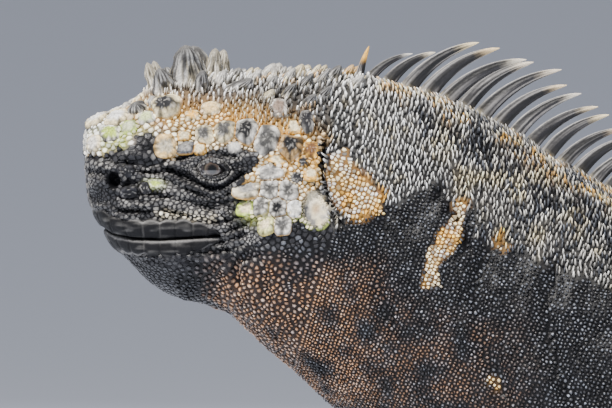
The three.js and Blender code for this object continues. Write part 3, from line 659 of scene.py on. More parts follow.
def relief(points):
    """How far the skin is raised at points, in millimetres, negative where it is pressed in."""
    behind, aside, high = points[:, 0], np.abs(points[:, 1]), points[:, 2]
    beside = ease_in(5, 10, aside)
    off, share, suture = lip_place(points)
    off_lip = ease_in(0.95, 1.15, np.abs(share))
    slit = from_slit(behind, high)
    near_eye = beside * (behind < 70)
    raised = near_eye * (
        0.7 * bell(slit - 0.7, 0.6) - 0.6 * bell(slit - 2.1, 0.5)
        + 0.5 * bell(slit - 3.1, 0.7) - 3.4 * ease_in(0.15, -1.0, slit)
    )
    pillow = np.sqrt(np.clip(1 - (2 * np.abs(share) - 1) ** 2, 0, 1))
    raised += pillow * (0.9 - 0.35 * bell(suture, 0.4))
    raised -= 1.5 * bell(off, 0.4) * ease_in(46, 43.5, behind)
    nostril = from_oval(behind, high, NOSTRIL)
    pit = 0.9 * bell(nostril - 1.35, 0.3) - 3.2 * ease_in(1.1, 0.6, nostril)
    raised += beside * (behind < 25) * pit
    ear = from_oval(behind, high, EAR)
    raised += beside * (-1.3 * ease_in(1.08, 0.86, ear) + 0.5 * ease_in(0.8, 0.2, ear))
    for line, half, depth in FOLDS:
        away = from_line(behind, high, line)
        raised += beside * depth * (0.45 * bell(away - 2.1 * half, half) - bell(away, half))
    rough = noise(points, 7, 21) - 0.5
    raised += rough * np.where(behind < 76, 0.9, 1.2) * off_lip
    bare_face = ease_in(62, 50, behind) * ease_in(144, 150, high) * ease_in(184, 178, high) * beside
    raised += bare_face * 1.7 * (wrinkles(points) - 0.5) * ease_in(1, 5, slit) * off_lip
    for boss in BOSSES:
        raised += beside * 1.7 * blob(behind, high, *boss, power=4)
    limp = ease_in(120, 200, behind) * ease_in(0, 20, high)
    waves = noise(points * (1.0, 0.4, 0.25), 9, 22) - 0.5
    raised += limp * waves * 2.6 * ease_in(460, 380, behind)
    return raised


skin_points = points_of(skin)
push = relief(skin_points)
most = np.where(skin_points[:, 2] > 176, 1.9, 1.3)
push = np.minimum(push, most) * ease_in(1.0, 6.0, skin_points[:, 2])
skin_points = skin_points + normals_of(skin) * push[:, None]
skin_points[:, 2] = np.maximum(skin_points[:, 2], LOWEST)
move_points(skin, skin_points)
print("relief from", round(push.min(), 1), "to", round(push.max(), 1), "mm")

# %% [markdown]
# ## Markings
# The animal is nearly black. What is pale on it is dried salt, and old skin that peels: a crust on
# the crown and the back of the neck, plates on the cheek, strips on the shoulder. One function says
# for any place what colour the tip and the root of a scale have there, so the skin and every scale
# agree. It reads the same outlines that a painter would draw on the side view, with ragged edges.
# It also paints light: highlights on the face's ridges and lower lip, glints on dark scales, shade in
# grooves.

# %% Inks


def ink(red, green, blue):
    """A colour from its screen values, 0 to 255."""
    share = np.array([red, green, blue]) / 255
    return np.where(share <= 0.04045, share / 12.92, ((share + 0.055) / 1.055) ** 2.4)


# SLATE_AND_GLINT is a bluish grey: one plate's rim, and the painted glints of the dark scales.
SOOT, BLACK, SLATE_AND_GLINT = ink(11, 11, 13), ink(36, 36, 39), ink(94, 97, 104)
ASH, CHALK, SALT = ink(126, 124, 121), ink(212, 208, 200), ink(244, 243, 240)
CREAM, AMBER, RUST = ink(238, 221, 178), ink(226, 172, 76), ink(132, 86, 40)
COPPER, EMBER, LIME = ink(184, 136, 96), ink(36, 24, 20), ink(180, 200, 88)
# LIP_RIM_AND_HIGHLIGHT paints the lips' pale rim and a highlight along the lower lip's top edge.
DUSK, LIP_INK, LIP_RIM_AND_HIGHLIGHT = ink(58, 54, 50), ink(17, 17, 19), ink(140, 138, 136)


def mixed(first, second, share):
    """Colour between two, by a share for each point."""
    return first + (second - first) * np.clip(np.asarray(share, float), 0, 1)[..., None]


# %% Outlines of the markings
CRUST = [
    (-8, 222), (-8, 184), (2.6, 181.5), (8.6, 181.5), (13.1, 183.4), (18.2, 188.8), (22.7, 187.6),
    (24.3, 180.8), (29.4, 180.5), (31, 183.4), (39.7, 183.4), (45.4, 184.7), (48.6, 185.6),
    (52.5, 183.1), (57, 182.1), (57.3, 178.3), (55.4, 176.7), (50.6, 171.9), (48.6, 169.3),
    (51.8, 167.1), (53.8, 162), (60.8, 157.2), (65.6, 158.1), (67.8, 162), (72, 159.1), (77.1, 158.1),
    (79, 160.4), (76.5, 170.6), (76.5, 180.2), (77.4, 185), (82, 222),
]
PALE_NECK = [
    (77.4, 225), (77.4, 185), (76.2, 173.8), (78.4, 165.8), (81.3, 158.4), (85.1, 161), (94.7, 164.2),
    (104.3, 168.7), (109.1, 171.6), (113.9, 170.6), (118.7, 165.8), (123.5, 163.6), (126.7, 155.2),
    (133.1, 151.4), (142.7, 147.6), (152.3, 145), (169, 138.6), (200, 122), (240, 100), (290, 78),
    (350, 55), (420, 38), (520, 26), (700, 16), (1000, 6), (1000, 225),
]
PEELING = [
    (118.7, 166.8), (122.2, 165.8), (121, 160.4), (117.8, 153), (113.9, 147.6), (113.3, 138.6),
    (108.8, 138), (107.8, 145), (110.1, 153), (113.9, 157.8), (117.1, 162.6),
]
BEHIND_EAR = [
    (79, 183.4), (83.5, 183.4), (85.8, 178.6), (89.9, 173.8), (94.7, 169), (96, 163.6), (91.5, 162.9),
    (85.1, 161.6), (81.3, 163.6), (78.4, 169), (77.4, 175.4),
]
BROW_LINE = [
    (17.9, 195.6), (25.9, 195.6), (37.1, 193), (46.7, 191.8), (57, 190.4), (65.9, 187.6),
    (73, 181.8), (75.5, 177),
]
LIP_ROW = [(25, 163.2), (33, 162.6), (41, 161.4)]
OLD_SPOTS = ((131.5, 154.3, 1.8, 3.2), (129.9, 109.2, 2.2, 2.4))  # behind, high, half long, half tall
CREST_FOOT = [(97, 203.5), (108, 199), (122, 193), (137, 185.6), (152, 176), (169, 166)]
DARK_SADDLE = [(112, 192), (126, 186), (140, 176), (156, 165), (175, 156)]


def on_pale(points):
    """True where the tall pale grains grow, with a ragged edge."""
    ragged = (noise(points, 4, 33) - 0.5) * 5
    return inside(points[:, 0] + ragged, points[:, 2] + ragged, PALE_NECK)


def markings(points):
    """Tip colour, root colour and roughness of the scales at points."""
    behind, aside, high = points[:, 0], np.abs(points[:, 1]), points[:, 2]
    b = behind + (noise(points, 5, 1) - 0.5) * 4 + (noise(points, 1.8, 31) - 0.5) * 1.6
    h = high + (noise(points, 5, 2) - 0.5) * 4 + (noise(points, 1.8, 32) - 0.5) * 1.6
    fine, patch, broad = noise(points, 1.5, 3), noise(points, 6, 4), noise(points, 22, 5)
    chance = ease_in(0.2, 0.8, noise(points, 0.9, 6))  # differs from one scale to the next
    # A few scales get bluish-grey tips: painted glints on the dark hide.
    tip = mixed(BLACK, SLATE_AND_GLINT, chance**3)
    root = np.tile(SOOT, (len(points), 1))
    rough = np.full(len(points), 0.42)

    face = ease_in(64, 50, b) * ease_in(142, 148, h)
    # Painted highlights on the face's wrinkle ridges, painted shade in their grooves, less on the bosses.
    highlight_strength = (0.3 + 0.7 * ease_in(0.3, 0.75, patch)) * (0.55 + 0.45 * chance)
    for boss in BOSSES:
        highlight_strength = highlight_strength * (1 - 0.85 * blob(behind, high, *boss, power=4))
    ridge_highlight = wrinkles(points)
    tip = mixed(tip, mixed(BLACK, mixed(ASH, CHALK, 0.2 * chance**3), ridge_highlight * highlight_strength), face)
    root = mixed(root, BLACK, face * ridge_highlight * 0.8)
    lip_row = near_line(behind, high, LIP_ROW, 1.3)
    tip = mixed(tip, mixed(CHALK, CREAM, fine), face * lip_row * ease_in(0.35, 0.6, patch) * 0.85)
    jaw = ease_in(46, 38, b) * ease_in(161, 159.5, high)
    tip = mixed(tip, BLACK, jaw * 0.8)

    throat = ease_in(36, 46, b) * ease_in(152, 142, h) * ease_in(104, 80, b)
    chest = ease_in(70, 84, b) * ease_in(140, 122, h) * ease_in(150, 110, b) * 0.5
    copper = np.maximum(throat, chest) * ease_in(0.2, 0.55, patch * 0.5 + broad * 0.5)
    tip = mixed(tip, mixed(COPPER, CHALK, 0.3 * chance**3), copper * (0.35 + 0.65 * fine))
    root = mixed(root, EMBER, copper * 0.5)

    pale = on_pale(points) * 1.0
    saddle = near_line(behind, high, DARK_SADDLE, 8)
    share = np.interp(behind, [100, 126, 170, 260], [1.1, 0.84, 0.7, 0.3])
    share = share * (1 - 0.6 * saddle) + 0.5 * (patch - 0.5) + 0.4 * (broad - 0.5)
    strength = pale * ease_in(-0.16, 0.16, share - 0.92 * chance)
    chalky = mixed(mixed(ASH, CHALK, ease_in(0.1, 0.6, fine)), CREAM, ease_in(0.5, 0.8, patch) * 0.8)
    chalky = mixed(chalky, SALT, 0.85 * ease_in(128, 100, b) * ease_in(0.15, 0.5, fine))
    tip = mixed(tip, chalky, strength)
    rough = rough + 0.3 * strength

    flakes = ease_in(0.7, 0.82, broad) * ease_in(0.5, 0.7, patch) * ease_in(170, 230, behind)
    tip = mixed(tip, CHALK, flakes * (1 - pale) * 0.7)

    crust = inside(b, h, CRUST) * 1.0
    salt = mixed(mixed(ASH, CHALK, ease_in(0.05, 0.3, chance)), SALT, ease_in(0.2, 0.7, patch))
    low_crust = ease_in(194, 188, high) * ease_in(22, 30, behind)
    salt = mixed(salt, mixed(ASH, CREAM, 0.3 + 0.7 * fine), low_crust * 0.8)
    tip = mixed(tip, salt, crust)
    dusky = mixed(mixed(SOOT, DUSK, 0.3 + 0.7 * fine), ASH, 0.5 * ease_in(30, 18, behind))
    root = mixed(root, dusky, crust)
    glow = near_line(b, h, BROW_LINE, 5.5) * crust
    tip = mixed(tip, mixed(CREAM, AMBER, ease_in(0.2, 0.8, patch)), glow * (0.65 + 0.35 * chance))
    root = mixed(root, mixed(AMBER, RUST, 0.6 * patch), glow * 0.7)
    seam = crust * ease_in(186, 178, high)
    root = mixed(root, mixed(AMBER, LIME, ease_in(168, 163, h)), seam * 0.4)
    moss = blob(b, h, 12, 186.5, 8, 5) * crust * ease_in(0.25, 0.5, patch)
    moss = np.maximum(moss, blob(b, h, 52.6, 163.8, 2.6, 3.2) * 0.9)
    moss = np.maximum(moss, blob(behind, high, 22.9, 172.4, 2.4, 1.2))
    tip = mixed(tip, LIME, moss * (0.4 + 0.5 * chance))
    root = mixed(root, mixed(LIME, RUST, 0.4), moss * 0.9)
    snow = ease_in(197, 203, high) * crust * ease_in(40, 52, behind)
    snow = np.maximum(snow, ease_in(190, 194, high) * crust * ease_in(13, 6, behind))
    tip = mixed(tip, SALT, snow * (0.55 + 0.45 * chance))
    shag = ease_in(184, 190, h) * ease_in(44, 60, b) * crust * ease_in(0.58, 0.76, chance)
    tip = mixed(tip, mixed(BLACK, AMBER, ease_in(0.5, 0.75, patch)), shag * 0.8)
    rough = rough + 0.35 * crust

    old_skin = np.maximum(inside(b, h, PEELING), inside(b, h, BEHIND_EAR)) * 1.0
    for x, z, long, tall in OLD_SPOTS:
        old_skin = np.maximum(old_skin, (np.hypot((b - x) / long, (h - z) / tall) < 1) * 1.0)
    worn = mixed(CHALK, CREAM, ease_in(0.2, 0.5, fine))
    worn = mixed(worn, AMBER, ease_in(0.45, 0.8, patch * 0.6 + fine * 0.4))
    tip = mixed(tip, mixed(worn, DUSK, 0.8 * ease_in(0.9, 1, chance)), old_skin)
    root = mixed(root, mixed(RUST, AMBER, fine * 0.5), old_skin * 0.5)
    rough = rough + 0.25 * old_skin
    foot = near_line(behind, high, CREST_FOOT, 4) * ease_in(0.4, 0.6, patch)
    foot = foot * ease_in(0.3, 0.5, chance)
    tip = mixed(tip, mixed(CREAM, AMBER, ease_in(0.5, 0.8, chance)), foot * 0.85)

    crack = near_line(behind, high, NECK_CRACK, 1.0)
    crack = np.maximum(crack, near_line(behind, high, CRACK_BRANCH, 0.8))
    tip = mixed(tip, SOOT, crack)
    root = mixed(root, SOOT, crack)
    drum = from_oval(behind, high, EAR)
    drum_ink = mixed(ASH, mixed(CHALK, CREAM, fine), ease_in(0.3, 0.6, patch * 0.3 + fine * 0.7))
    drum_ink = mixed(drum_ink, RUST, ease_in(0.5, 0.1, drum) * 0.6)
    drum_ink = mixed(drum_ink, DUSK, 0.7 * bell(drum - 1.0, 0.08))
    on_drum = ease_in(1.1, 0.95, drum) * (aside > 10)
    tip = mixed(tip, drum_ink, on_drum)
    root = mixed(root, drum_ink, on_drum)

    off, share, suture = lip_place(points)
    streak = noise(points * (0.35, 0.35, 1.6), 1.3, 34)
    lip_ink = mixed(LIP_INK, ASH * 0.5, 0.5 * ease_in(0.55, 0.9, streak))
    lip_ink = mixed(lip_ink, ASH * 0.6, 0.3 * bell(suture, 0.3) * ease_in(0.4, 0.6, patch))
    # A pale rim in patches at the lips' outer edge, and a painted highlight just below the mouth line.
    rim = bell(np.abs(share) - 0.96, 0.06) * ease_in(0.25, 0.5, patch) + bell(off + 0.9, 0.4)
    lip_ink = mixed(lip_ink, LIP_RIM_AND_HIGHLIGHT, 0.7 * rim * (0.5 + 0.5 * streak))
    lip_ink = mixed(lip_ink, SOOT * 0.5, bell(off, 0.42))
    on_lip = ease_in(1.08, 1.0, np.abs(share))
    rough = rough + 0.25 * on_lip
    return mixed(tip, lip_ink, on_lip), mixed(root, lip_ink, on_lip), np.clip(rough, 0.3, 0.95)


def colour(obj, inks, roughs):
    """Keeps a colour, and the roughness as its alpha, for each point of a piece."""
    values = np.concatenate([inks, np.asarray(roughs)[:, None]], -1).astype(np.float32)
    layer = obj.data.color_attributes.new("Tint", "FLOAT_COLOR", "POINT")
    layer.data.foreach_set("color", values.ravel())


skin_points = points_of(skin)
skin_tip, skin_root, skin_rough = markings(skin_points)
# Painted shade: skin pressed in by the relief (folds, pits, slit, ear) is painted darker, towards soot.
deep = ease_in(0.4, -0.8, push)
on_drum = ease_in(1.1, 0.95, from_oval(skin_points[:, 0], skin_points[:, 2], EAR))
on_lip = ease_in(1.1, 1.0, np.abs(lip_place(skin_points)[1]))
smooth_skin = np.maximum(on_drum, on_lip)
skin_ink = mixed(skin_root, skin_tip, 0.05 + 0.67 * smooth_skin)
colour(skin, mixed(skin_ink, SOOT, deep * 0.8 * (1 - smooth_skin)), skin_rough)
print("inks of", len(skin_points), "points of skin")

# %% [markdown]
# ## Places on the skin
# A scale's root has to sit on the skin and stand along its normal. Blender's BVH tree finds the
# nearest face to a point, or the face that a ray from the side or from above meets first.

# %% Meeting the skin
OUTSIDE = {"aside": 200.0, "high": 300.0}  # where the rays start, well clear of the animal
BACKWARDS = np.array([[1.0, 0.0, 0.0]])
ground = BVHTree.FromObject(skin, bpy.context.evaluated_depsgraph_get())


def nearest_skin(points):
    """The skin's nearest places to points, with their normals."""
    spots, normals = np.empty((len(points), 3)), np.empty((len(points), 3))
    for i, place in enumerate((np.asarray(points) + SHIFT) * MM):
        spot, normal, _, _ = ground.find_nearest(Vector(place))
        spots[i], normals[i] = spot, normal
    return spots / MM - SHIFT, normals


def met(start, heading):
    """Where a ray first meets the skin, with the normal there."""
    spot, normal, _, _ = ground.ray_cast(Vector((np.array(start) + SHIFT) * MM), Vector(heading))
    return np.array(spot) / MM - SHIFT, np.array(normal)


def from_side(behind, high, sign):
    return met((behind, sign * OUTSIDE["aside"], high), (0, -sign, 0))


def from_above(behind, aside):
    return met((behind, aside, OUTSIDE["high"]), (0, 0, -1))


def frames(normals, lie):
    """Two directions in the skin at each normal: along the lie of the scales, and across it."""
    along = lie - normals * np.sum(lie * normals, -1, keepdims=True)
    along /= np.maximum(np.linalg.norm(along, axis=-1, keepdims=True), 1e-6)
    return along, np.cross(normals, along)


chin, _ = from_side(20, 150, -1)
print("the jaw's side is", round(abs(chin[1]), 1), "mm from the middle")

# %% [markdown]
# ## Sowing the scales
# On neck, trunk, tail and legs the scales stand in staggered rings, like bricks, a little jittered.
# On the head they have no rows: places are drawn at random and kept when no kept one is too near,
# which packs them as closely as real ones. All draws come from one seeded generator.

# %% Sowing
rng = np.random.default_rng(11)
RING_STEPS = 361
JITTER = {"round": 0.3, "along": 0.26}  # as shares of the gap between two scales
GRID_CELL = 3.2  # no two scales touch over more than one cell of this size


def sow_rings(place, stops, gap):
    """Staggered rings of seeds on a tubular form, gap(stop) apart round it."""
    turns = np.linspace(0, 2 * np.pi, RING_STEPS)
    found = []
    for i, stop in enumerate(stops):
        ring = place(np.full(RING_STEPS, stop), turns)
        run = np.concatenate([[0], np.cumsum(np.linalg.norm(np.diff(ring, axis=0), axis=1))])
        count = max(4, round(run[-1] / gap(stop)))
        order = np.arange(count) + rng.random()
        reach = (order + rng.uniform(-JITTER["round"], JITTER["round"], count)) / count * run[-1]
        step = abs(stops[min(i + 1, len(stops) - 1)] - stops[max(i - 1, 0)]) / 2
        shifted = stop + rng.uniform(-JITTER["along"], JITTER["along"], count) * step
        found.append(place(shifted, np.interp(reach % run[-1], run, turns)))
    return np.concatenate(found)


def spaced(start, end, step):
    """Stops from start to end, each step(stop) after the last."""
    stops = [start]
    while stops[-1] < end:
        stops.append(stops[-1] + step(stops[-1]))
    return stops


def sow_at_random(candidates, sizes, taken, taken_sizes):
    """Keeps candidates, in their order, that stand clear of the kept ones and of those taken."""
    grid = {}

    def cell(point):
        return tuple(int(v // GRID_CELL) for v in point)

    def near(point):
        x, y, z = cell(point)
        for i in (x - 1, x, x + 1):
            for j in (y - 1, y, y + 1):
                for k in (z - 1, z, z + 1):
                    yield from grid.get((i, j, k), ())

    def put(point, size):
        grid.setdefault(cell(point), []).append((*point, size))

    for point, size in zip(taken.tolist(), taken_sizes.tolist()):
        put(point, size)
    kept = []
    for i, (point, size) in enumerate(zip(candidates.tolist(), sizes.tolist())):
        x, y, z = point
        for nx, ny, nz, other in near(point):
            clear = (size + other) / 2
            if (x - nx) ** 2 + (y - ny) ** 2 + (z - nz) ** 2 < clear * clear:
                break
        else:
            kept.append(i)
            put(point, size)
    return np.array(kept, int)


GAP_STOPS = [at["nape"], at["shoulder"] + 12, at["chest"] + 20, at["hip"]]
LAST_RING = at["tip"] - 6


def sow_body(gaps, rows_apart):
    """Seeds all over the body, with gaps round it at the stops and rows apart by a share of them."""

    def gap(s):
        return np.interp(s, GAP_STOPS, gaps)

    return sow_rings(body_point, spaced(at["nape"], LAST_RING, lambda s: rows_apart * gap(s)), gap)


grain_seeds = sow_body([1.6, 1.7, 2.3, 2.6], 0.76)  # the tall grains of the pale back
pebble_seeds = sow_body([1.16, 1.25, 2.3, 2.6], 1.1)  # the small pebbles of the dark sides
body_seeds = [grain_seeds[on_pale(grain_seeds)], pebble_seeds[~on_pale(pebble_seeds)]]
body_seeds = np.concatenate(body_seeds)
print(len(body_seeds), "seeds on neck, trunk and tail")


def leg_seeds(forms):
    """Seeds of one leg, the lie of their scales and their place along it, 0 at the root."""
    found, lies, places = [], [], []
    for i, (form, place) in enumerate(forms.items()):
        gap = 2.3 if form in ("upper", "lower") else 1.8
        root = place(np.zeros(1), np.zeros(1))[0]
        run = place(np.ones(1), np.zeros(1))[0] - root
        long = np.linalg.norm(run)
        seeds = sow_rings(place, spaced(0.02, 0.97, lambda t: gap / long), lambda t: gap)
        found.append(seeds)
        lies.append(np.tile(run, (len(seeds), 1)))
        places.append((i + np.clip((seeds - root) @ run / long**2, 0, 1)) / len(forms))
    return np.concatenate(found), np.concatenate(lies), np.concatenate(places)


legs_sown = {name: leg_seeds(forms) for name, forms in limbs.items()}
print(sum(len(sown[0]) for sown in legs_sown.values()), "seeds on the legs")

# %% [markdown]
# ## Growing the scales
# A scale fills its own cell: its edge lies halfway to each neighbour, so two scales leave only a
# thin seam between them. Each is a few rings of points, from a root sunk in the skin to one point
# at its tip, and a profile says how wide, how high and how far back each ring stands. Copying one
# model of a scale would leave gaps or overlaps, so the rings are worked out for all of them at once.

# %% Cells
PROFILES = {  # width, height, lean and tip colour of each ring from the root; the tip comes last
    "grain": ((0.8, -0.2, 0, 0), (0.66, 0.4, 0.2, 0.25), (0.42, 0.85, 0.65, 1), (0, 1, 1, 1.25)),
    "flake": ((1.0, -0.2, 0, 0), (0.86, 0.6, 0.05, 0.45), (0.5, 0.95, 0.3, 1), (0, 0.9, 0.4, 1.1)),
    "pebble": ((0.95, -0.2, 0, 0), (0.7, 0.68, 0.1, 0.4), (0, 1, 0.3, 1.7)),
    "keel": ((0.98, -0.2, 0, 0.05), (0.72, 0.62, 0.35, 0.45), (0, 1, 1, 1.3)),
}
SHEET = {"middle": 0.39, "half": 0.38, "long": 1000, "scale": 0.0015}
FACING, FLOOR_GAP = 1e-6, 0.05  # the least that counts as facing a neighbour, and room over the floor


def unwrap(points):
    """Place of body points on a sheet that is rolled off the body: round it, and along it."""
    axis = np.interp(points[:, 0], middle[:, 0], middle[:, 1])
    round_it = SHEET["half"] * np.arctan2(points[:, 1], points[:, 2] - axis) / np.pi
    return np.stack([SHEET["middle"] + round_it, points[:, 0] / SHEET["long"]], -1)


def neighbours(points, count):
    """Numbers of the nearest other points to each point."""
    tree = kdtree.KDTree(len(points))
    for i, point in enumerate(points):
        tree.insert(point, i)
    tree.balance()
    return np.array([[hit[1] for hit in tree.find_n(point, count + 1)][1:] for point in points])


def cell_rays(points, along, across, sizes, arms, near):
    """Rays from each point in its tangent plane, and how far its cell reaches along each."""
    turns = around(arms, 0.5)
    rays = along[:, None] * np.cos(turns)[:, None] + across[:, None] * np.sin(turns)[:, None]
    away = points[near] - points[:, None]
    weight = (sizes / 2) ** 2
    share = np.sum(away**2, -1) + weight[:, None] - weight[near]
    facing = np.einsum("nak,nrk->nar", rays, away)
    edge = share[:, None] / (2 * np.maximum(facing, FACING))
    limit = np.where(facing > FACING, edge, 1e6).min(-1)
    return rays, np.clip(limit, 0.2 * sizes[:, None], 0.85 * sizes[:, None])


def ring_faces(arms, rings, start=0):
    """Triangles between the rings of a stack whose first point has the number start."""
    step = np.arange(arms)
    after = (step + 1) % arms
    faces = []
    for low in range(start, start + (rings - 1) * arms, arms):
        high = low + arms
        faces.append(np.stack([low + step, low + after, high + after], -1))
        faces.append(np.stack([low + step, high + after, high + step], -1))
    return faces


def grown(
    name, profile, points, normals, along, rays, radii, heights, leans, tips, roots, roughs, sheet,
):
    """One mesh of scales, ring by ring, with its colours and its own unwrap."""
    count, arms = radii.shape
    rings, inks, patches = [], [], []
    for width, high, lean, tone in profile:
        lift = np.where(high < 0, high, high * heights)
        centre = points + normals * lift[:, None] + along * (lean * leans)[:, None]
        steps = arms if width else 1
        rings.append(centre[:, None] + rays[:, :steps] * (radii[:, :steps] * width)[..., None])
        shade = np.clip(roots + (tips - roots) * tone, 0, 1)
        inks.append(np.repeat(shade[:, None], steps, 1))
        turns = around(arms, 0.5)[:steps]
        patch = np.stack([np.cos(turns), np.sin(turns)], -1) * width * SHEET["scale"]
        patches.append(sheet[:, None] + patch[None])
    place = np.concatenate(rings, 1)
    each = place.shape[1]
    step = np.arange(arms)
    top = (len(profile) - 2) * arms
    fan = np.stack([top + step, top + (step + 1) % arms, np.full(arms, top + arms)], -1)
    faces = np.concatenate([*ring_faces(arms, len(profile) - 1), fan])
    every = (faces[None] + np.arange(count)[:, None, None] * each).reshape(-1, 3)
    flat = place.reshape(-1, 3)
    flat[:, 2] = np.maximum(flat[:, 2], FLOOR_GAP)
    piece = new_mesh(name, flat, every)
    colour(piece, np.concatenate(inks, 1).reshape(-1, 3), np.repeat(roughs, each))
    sheet_map = piece.data.uv_layers.new(name="OFBake")
    corners = read(piece.data.loops, "vertex_index", 1, np.int32)[:, 0]
    spread = np.concatenate(patches, 1).reshape(-1, 2)[corners]
    sheet_map.uv.foreach_set("vector", spread.astype(np.float32).ravel())
    piece.data.shade_flat()
    return piece


# %% [markdown]
# ## Plates and horns of the head
# A grown male carries a helmet: cone-shaped scales on the crown, domes over the brow and flat plates
# on the cheek. They are large enough to be named one by one, by their place, size and colours. They
# are set first, and the small scales are sown round them.

# %% Plates of the head
DOME = (  # width and height of each ring, from the edge to the middle
    (1.02, -0.5), (0.98, 0.2), (0.92, 0.45), (0.82, 0.7), (0.7, 0.84), (0.58, 0.93), (0.46, 0.98),
    (0.34, 1), (0.22, 1), (0.1, 1), (0, 1),
)
PLATE = (
    (1.02, -0.5), (0.98, 0.35), (0.93, 0.75), (0.84, 0.98), (0.72, 0.96), (0.6, 0.88), (0.48, 0.82),
    (0.34, 0.78), (0.22, 0.76), (0.1, 0.76), (0, 0.76),
)
SIDE_PLATES = [  # behind, high, half length, half height, rise, profile, middle ink, edge ink
    (26.4, 196.6, 4.3, 3.2, 3.0, DOME, BLACK, CREAM),
    (26.8, 184.4, 3.0, 2.9, 1.6, PLATE, mixed(ASH, CREAM, 0.4), mixed(CREAM, AMBER, 0.6)),
    (33.2, 183.9, 2.8, 1.7, 1.3, DOME, ASH, SLATE_AND_GLINT),
    (39, 187.5, 2.4, 2.8, 2.0, DOME, ASH * 0.35, CREAM),
    (45.6, 188.8, 2.8, 2.9, 2.4, DOME, ASH * 0.3, CREAM),
    (52.2, 188.7, 3.1, 3.3, 2.9, DOME, SOOT * 2, CHALK),
    (58.8, 185.8, 3.3, 4.0, 2.4, DOME, ASH * 0.35, CHALK),
    (66.2, 183.8, 3.8, 3.8, 3.0, DOME, SOOT * 2, mixed(ASH, AMBER, 0.5)),
    (62.5, 196, 2.2, 3.0, 2.0, DOME, mixed(RUST, ASH, 0.6), CHALK),
    (71.2, 191.6, 1.9, 3.4, 2.4, DOME, BLACK, ASH),
    (52.8, 170.9, 4.1, 2.7, 1.5, PLATE, ASH * 1.3, mixed(CHALK, CREAM, 0.6)),
    (59.9, 170.6, 2.6, 2.8, 1.9, PLATE, ASH * 0.35, CHALK),
    (65.4, 170.2, 2.6, 2.8, 1.9, PLATE, ASH * 0.3, CHALK),
    (57.0, 165.2, 2.3, 2.6, 1.9, PLATE, ASH * 0.5, CHALK),
    (62.2, 164.8, 2.3, 2.7, 1.9, PLATE, SOOT * 2, CHALK),
    (60.0, 176.2, 4.0, 1.9, 1.5, PLATE, ASH * 1.2, CHALK),
    (52.6, 164.6, 2.9, 2.0, 1.4, PLATE, CREAM, LIME),
    (58.6, 159.6, 2.3, 2.7, 1.5, PLATE, CREAM, mixed(LIME, CREAM, 0.5)),
    (63.6, 159.4, 2.2, 2.5, 1.7, PLATE, ASH * 0.5, CHALK),
    (70.1, 179.1, 1.6, 1.6, 1.2, DOME, BLACK, AMBER),
    (68.2, 174.3, 1.5, 1.5, 1.0, DOME, BLACK, ASH),
    (62, 179.9, 3.0, 1.6, 1.0, PLATE, CREAM, AMBER),
    (72.6, 183, 2.0, 2.4, 1.2, DOME, mixed(RUST, DUSK, 0.4), AMBER),
    (72.6, 175.6, 1.9, 1.9, 0.9, PLATE, CREAM, AMBER),
    (67.4, 164.6, 1.7, 2.2, 1.1, PLATE, CHALK, SALT),
    (32.6, 187.4, 1.8, 1.5, 1.3, DOME, CREAM, AMBER),
    (37.6, 183.6, 1.7, 1.7, 1.1, DOME, CREAM, AMBER),
    (48.6, 184, 2.0, 1.6, 1.2, DOME, CHALK, ASH),
    (35.2, 194, 1.8, 1.6, 1.4, DOME, AMBER, CREAM),
    (41, 196.2, 2.6, 2.0, 1.6, DOME, mixed(AMBER, CREAM, 0.5), CREAM),
    (67.4, 190, 1.9, 2.2, 1.6, DOME, CREAM, AMBER),
    (20.6, 193.4, 2.4, 2.0, 1.3, DOME, mixed(LIME, CHALK, 0.4), CHALK),
    (9, 188.6, 3.0, 2.4, 1.2, DOME, LIME, CHALK),
    (14.6, 190.2, 2.6, 2.2, 1.2, DOME, mixed(LIME, CHALK, 0.6), LIME),
    (3.8, 185.2, 2.2, 2.4, 1.2, DOME, CHALK, CREAM),
    (23, 172.4, 2.5, 1.2, 0.7, PLATE, LIME, mixed(LIME, SALT, 0.5)),
    (15, 169.6, 2.2, 2.0, 1.0, DOME, BLACK, BLACK * 2),
    (20.4, 171.2, 1.6, 1.5, 0.9, DOME, BLACK, BLACK * 2),
    (14.6, 176.6, 1.7, 1.5, 1.0, DOME, BLACK, BLACK * 2),
]
SNOUT_PLATES = [  # behind, aside, half size, rise: seen from above
    (4.6, 4.6, 4.2, 1.9), (10.6, 0, 4.2, 1.9), (10.8, 9.6, 4.2, 1.9), (17.2, 0.2, 4.2, 1.9),
]
SPREAD = 1.36  # how far a plate grows past its own size where it meets no other
SQUARENESS = 2.6  # 2 would make a free plate round
SEAM = 0.985  # a plate's edge stops at this share of the way to the middle of the seam
plates = []
for behind, high, long, tall, rise, profile, core, rim in SIDE_PLATES:
    for sign in (-1, 1):
        plates.append((*from_side(behind, high, sign), long, tall, rise, profile, core, rim))
for behind, aside, half, rise in SNOUT_PLATES:
    snowy = (half * 0.8, half * 0.8, rise, DOME, SALT * 0.9, CREAM)
    for sign in (-1, 1) if aside > 1 else (1,):
        plates.append((*from_above(behind, sign * aside), *snowy))
plate_points, plate_normals = (np.array([plate[i] for plate in plates]) for i in (0, 1))
plate_half = np.array([plate[2:4] for plate in plates], float)
in_front = np.abs(plate_normals[:, :1]) > 0.8
plate_lie = np.where(in_front, np.array([[0.0, 1.0, 0.0]]), BACKWARDS)
plate_along, plate_across = frames(plate_normals, plate_lie)
print(len(plates), "plates")


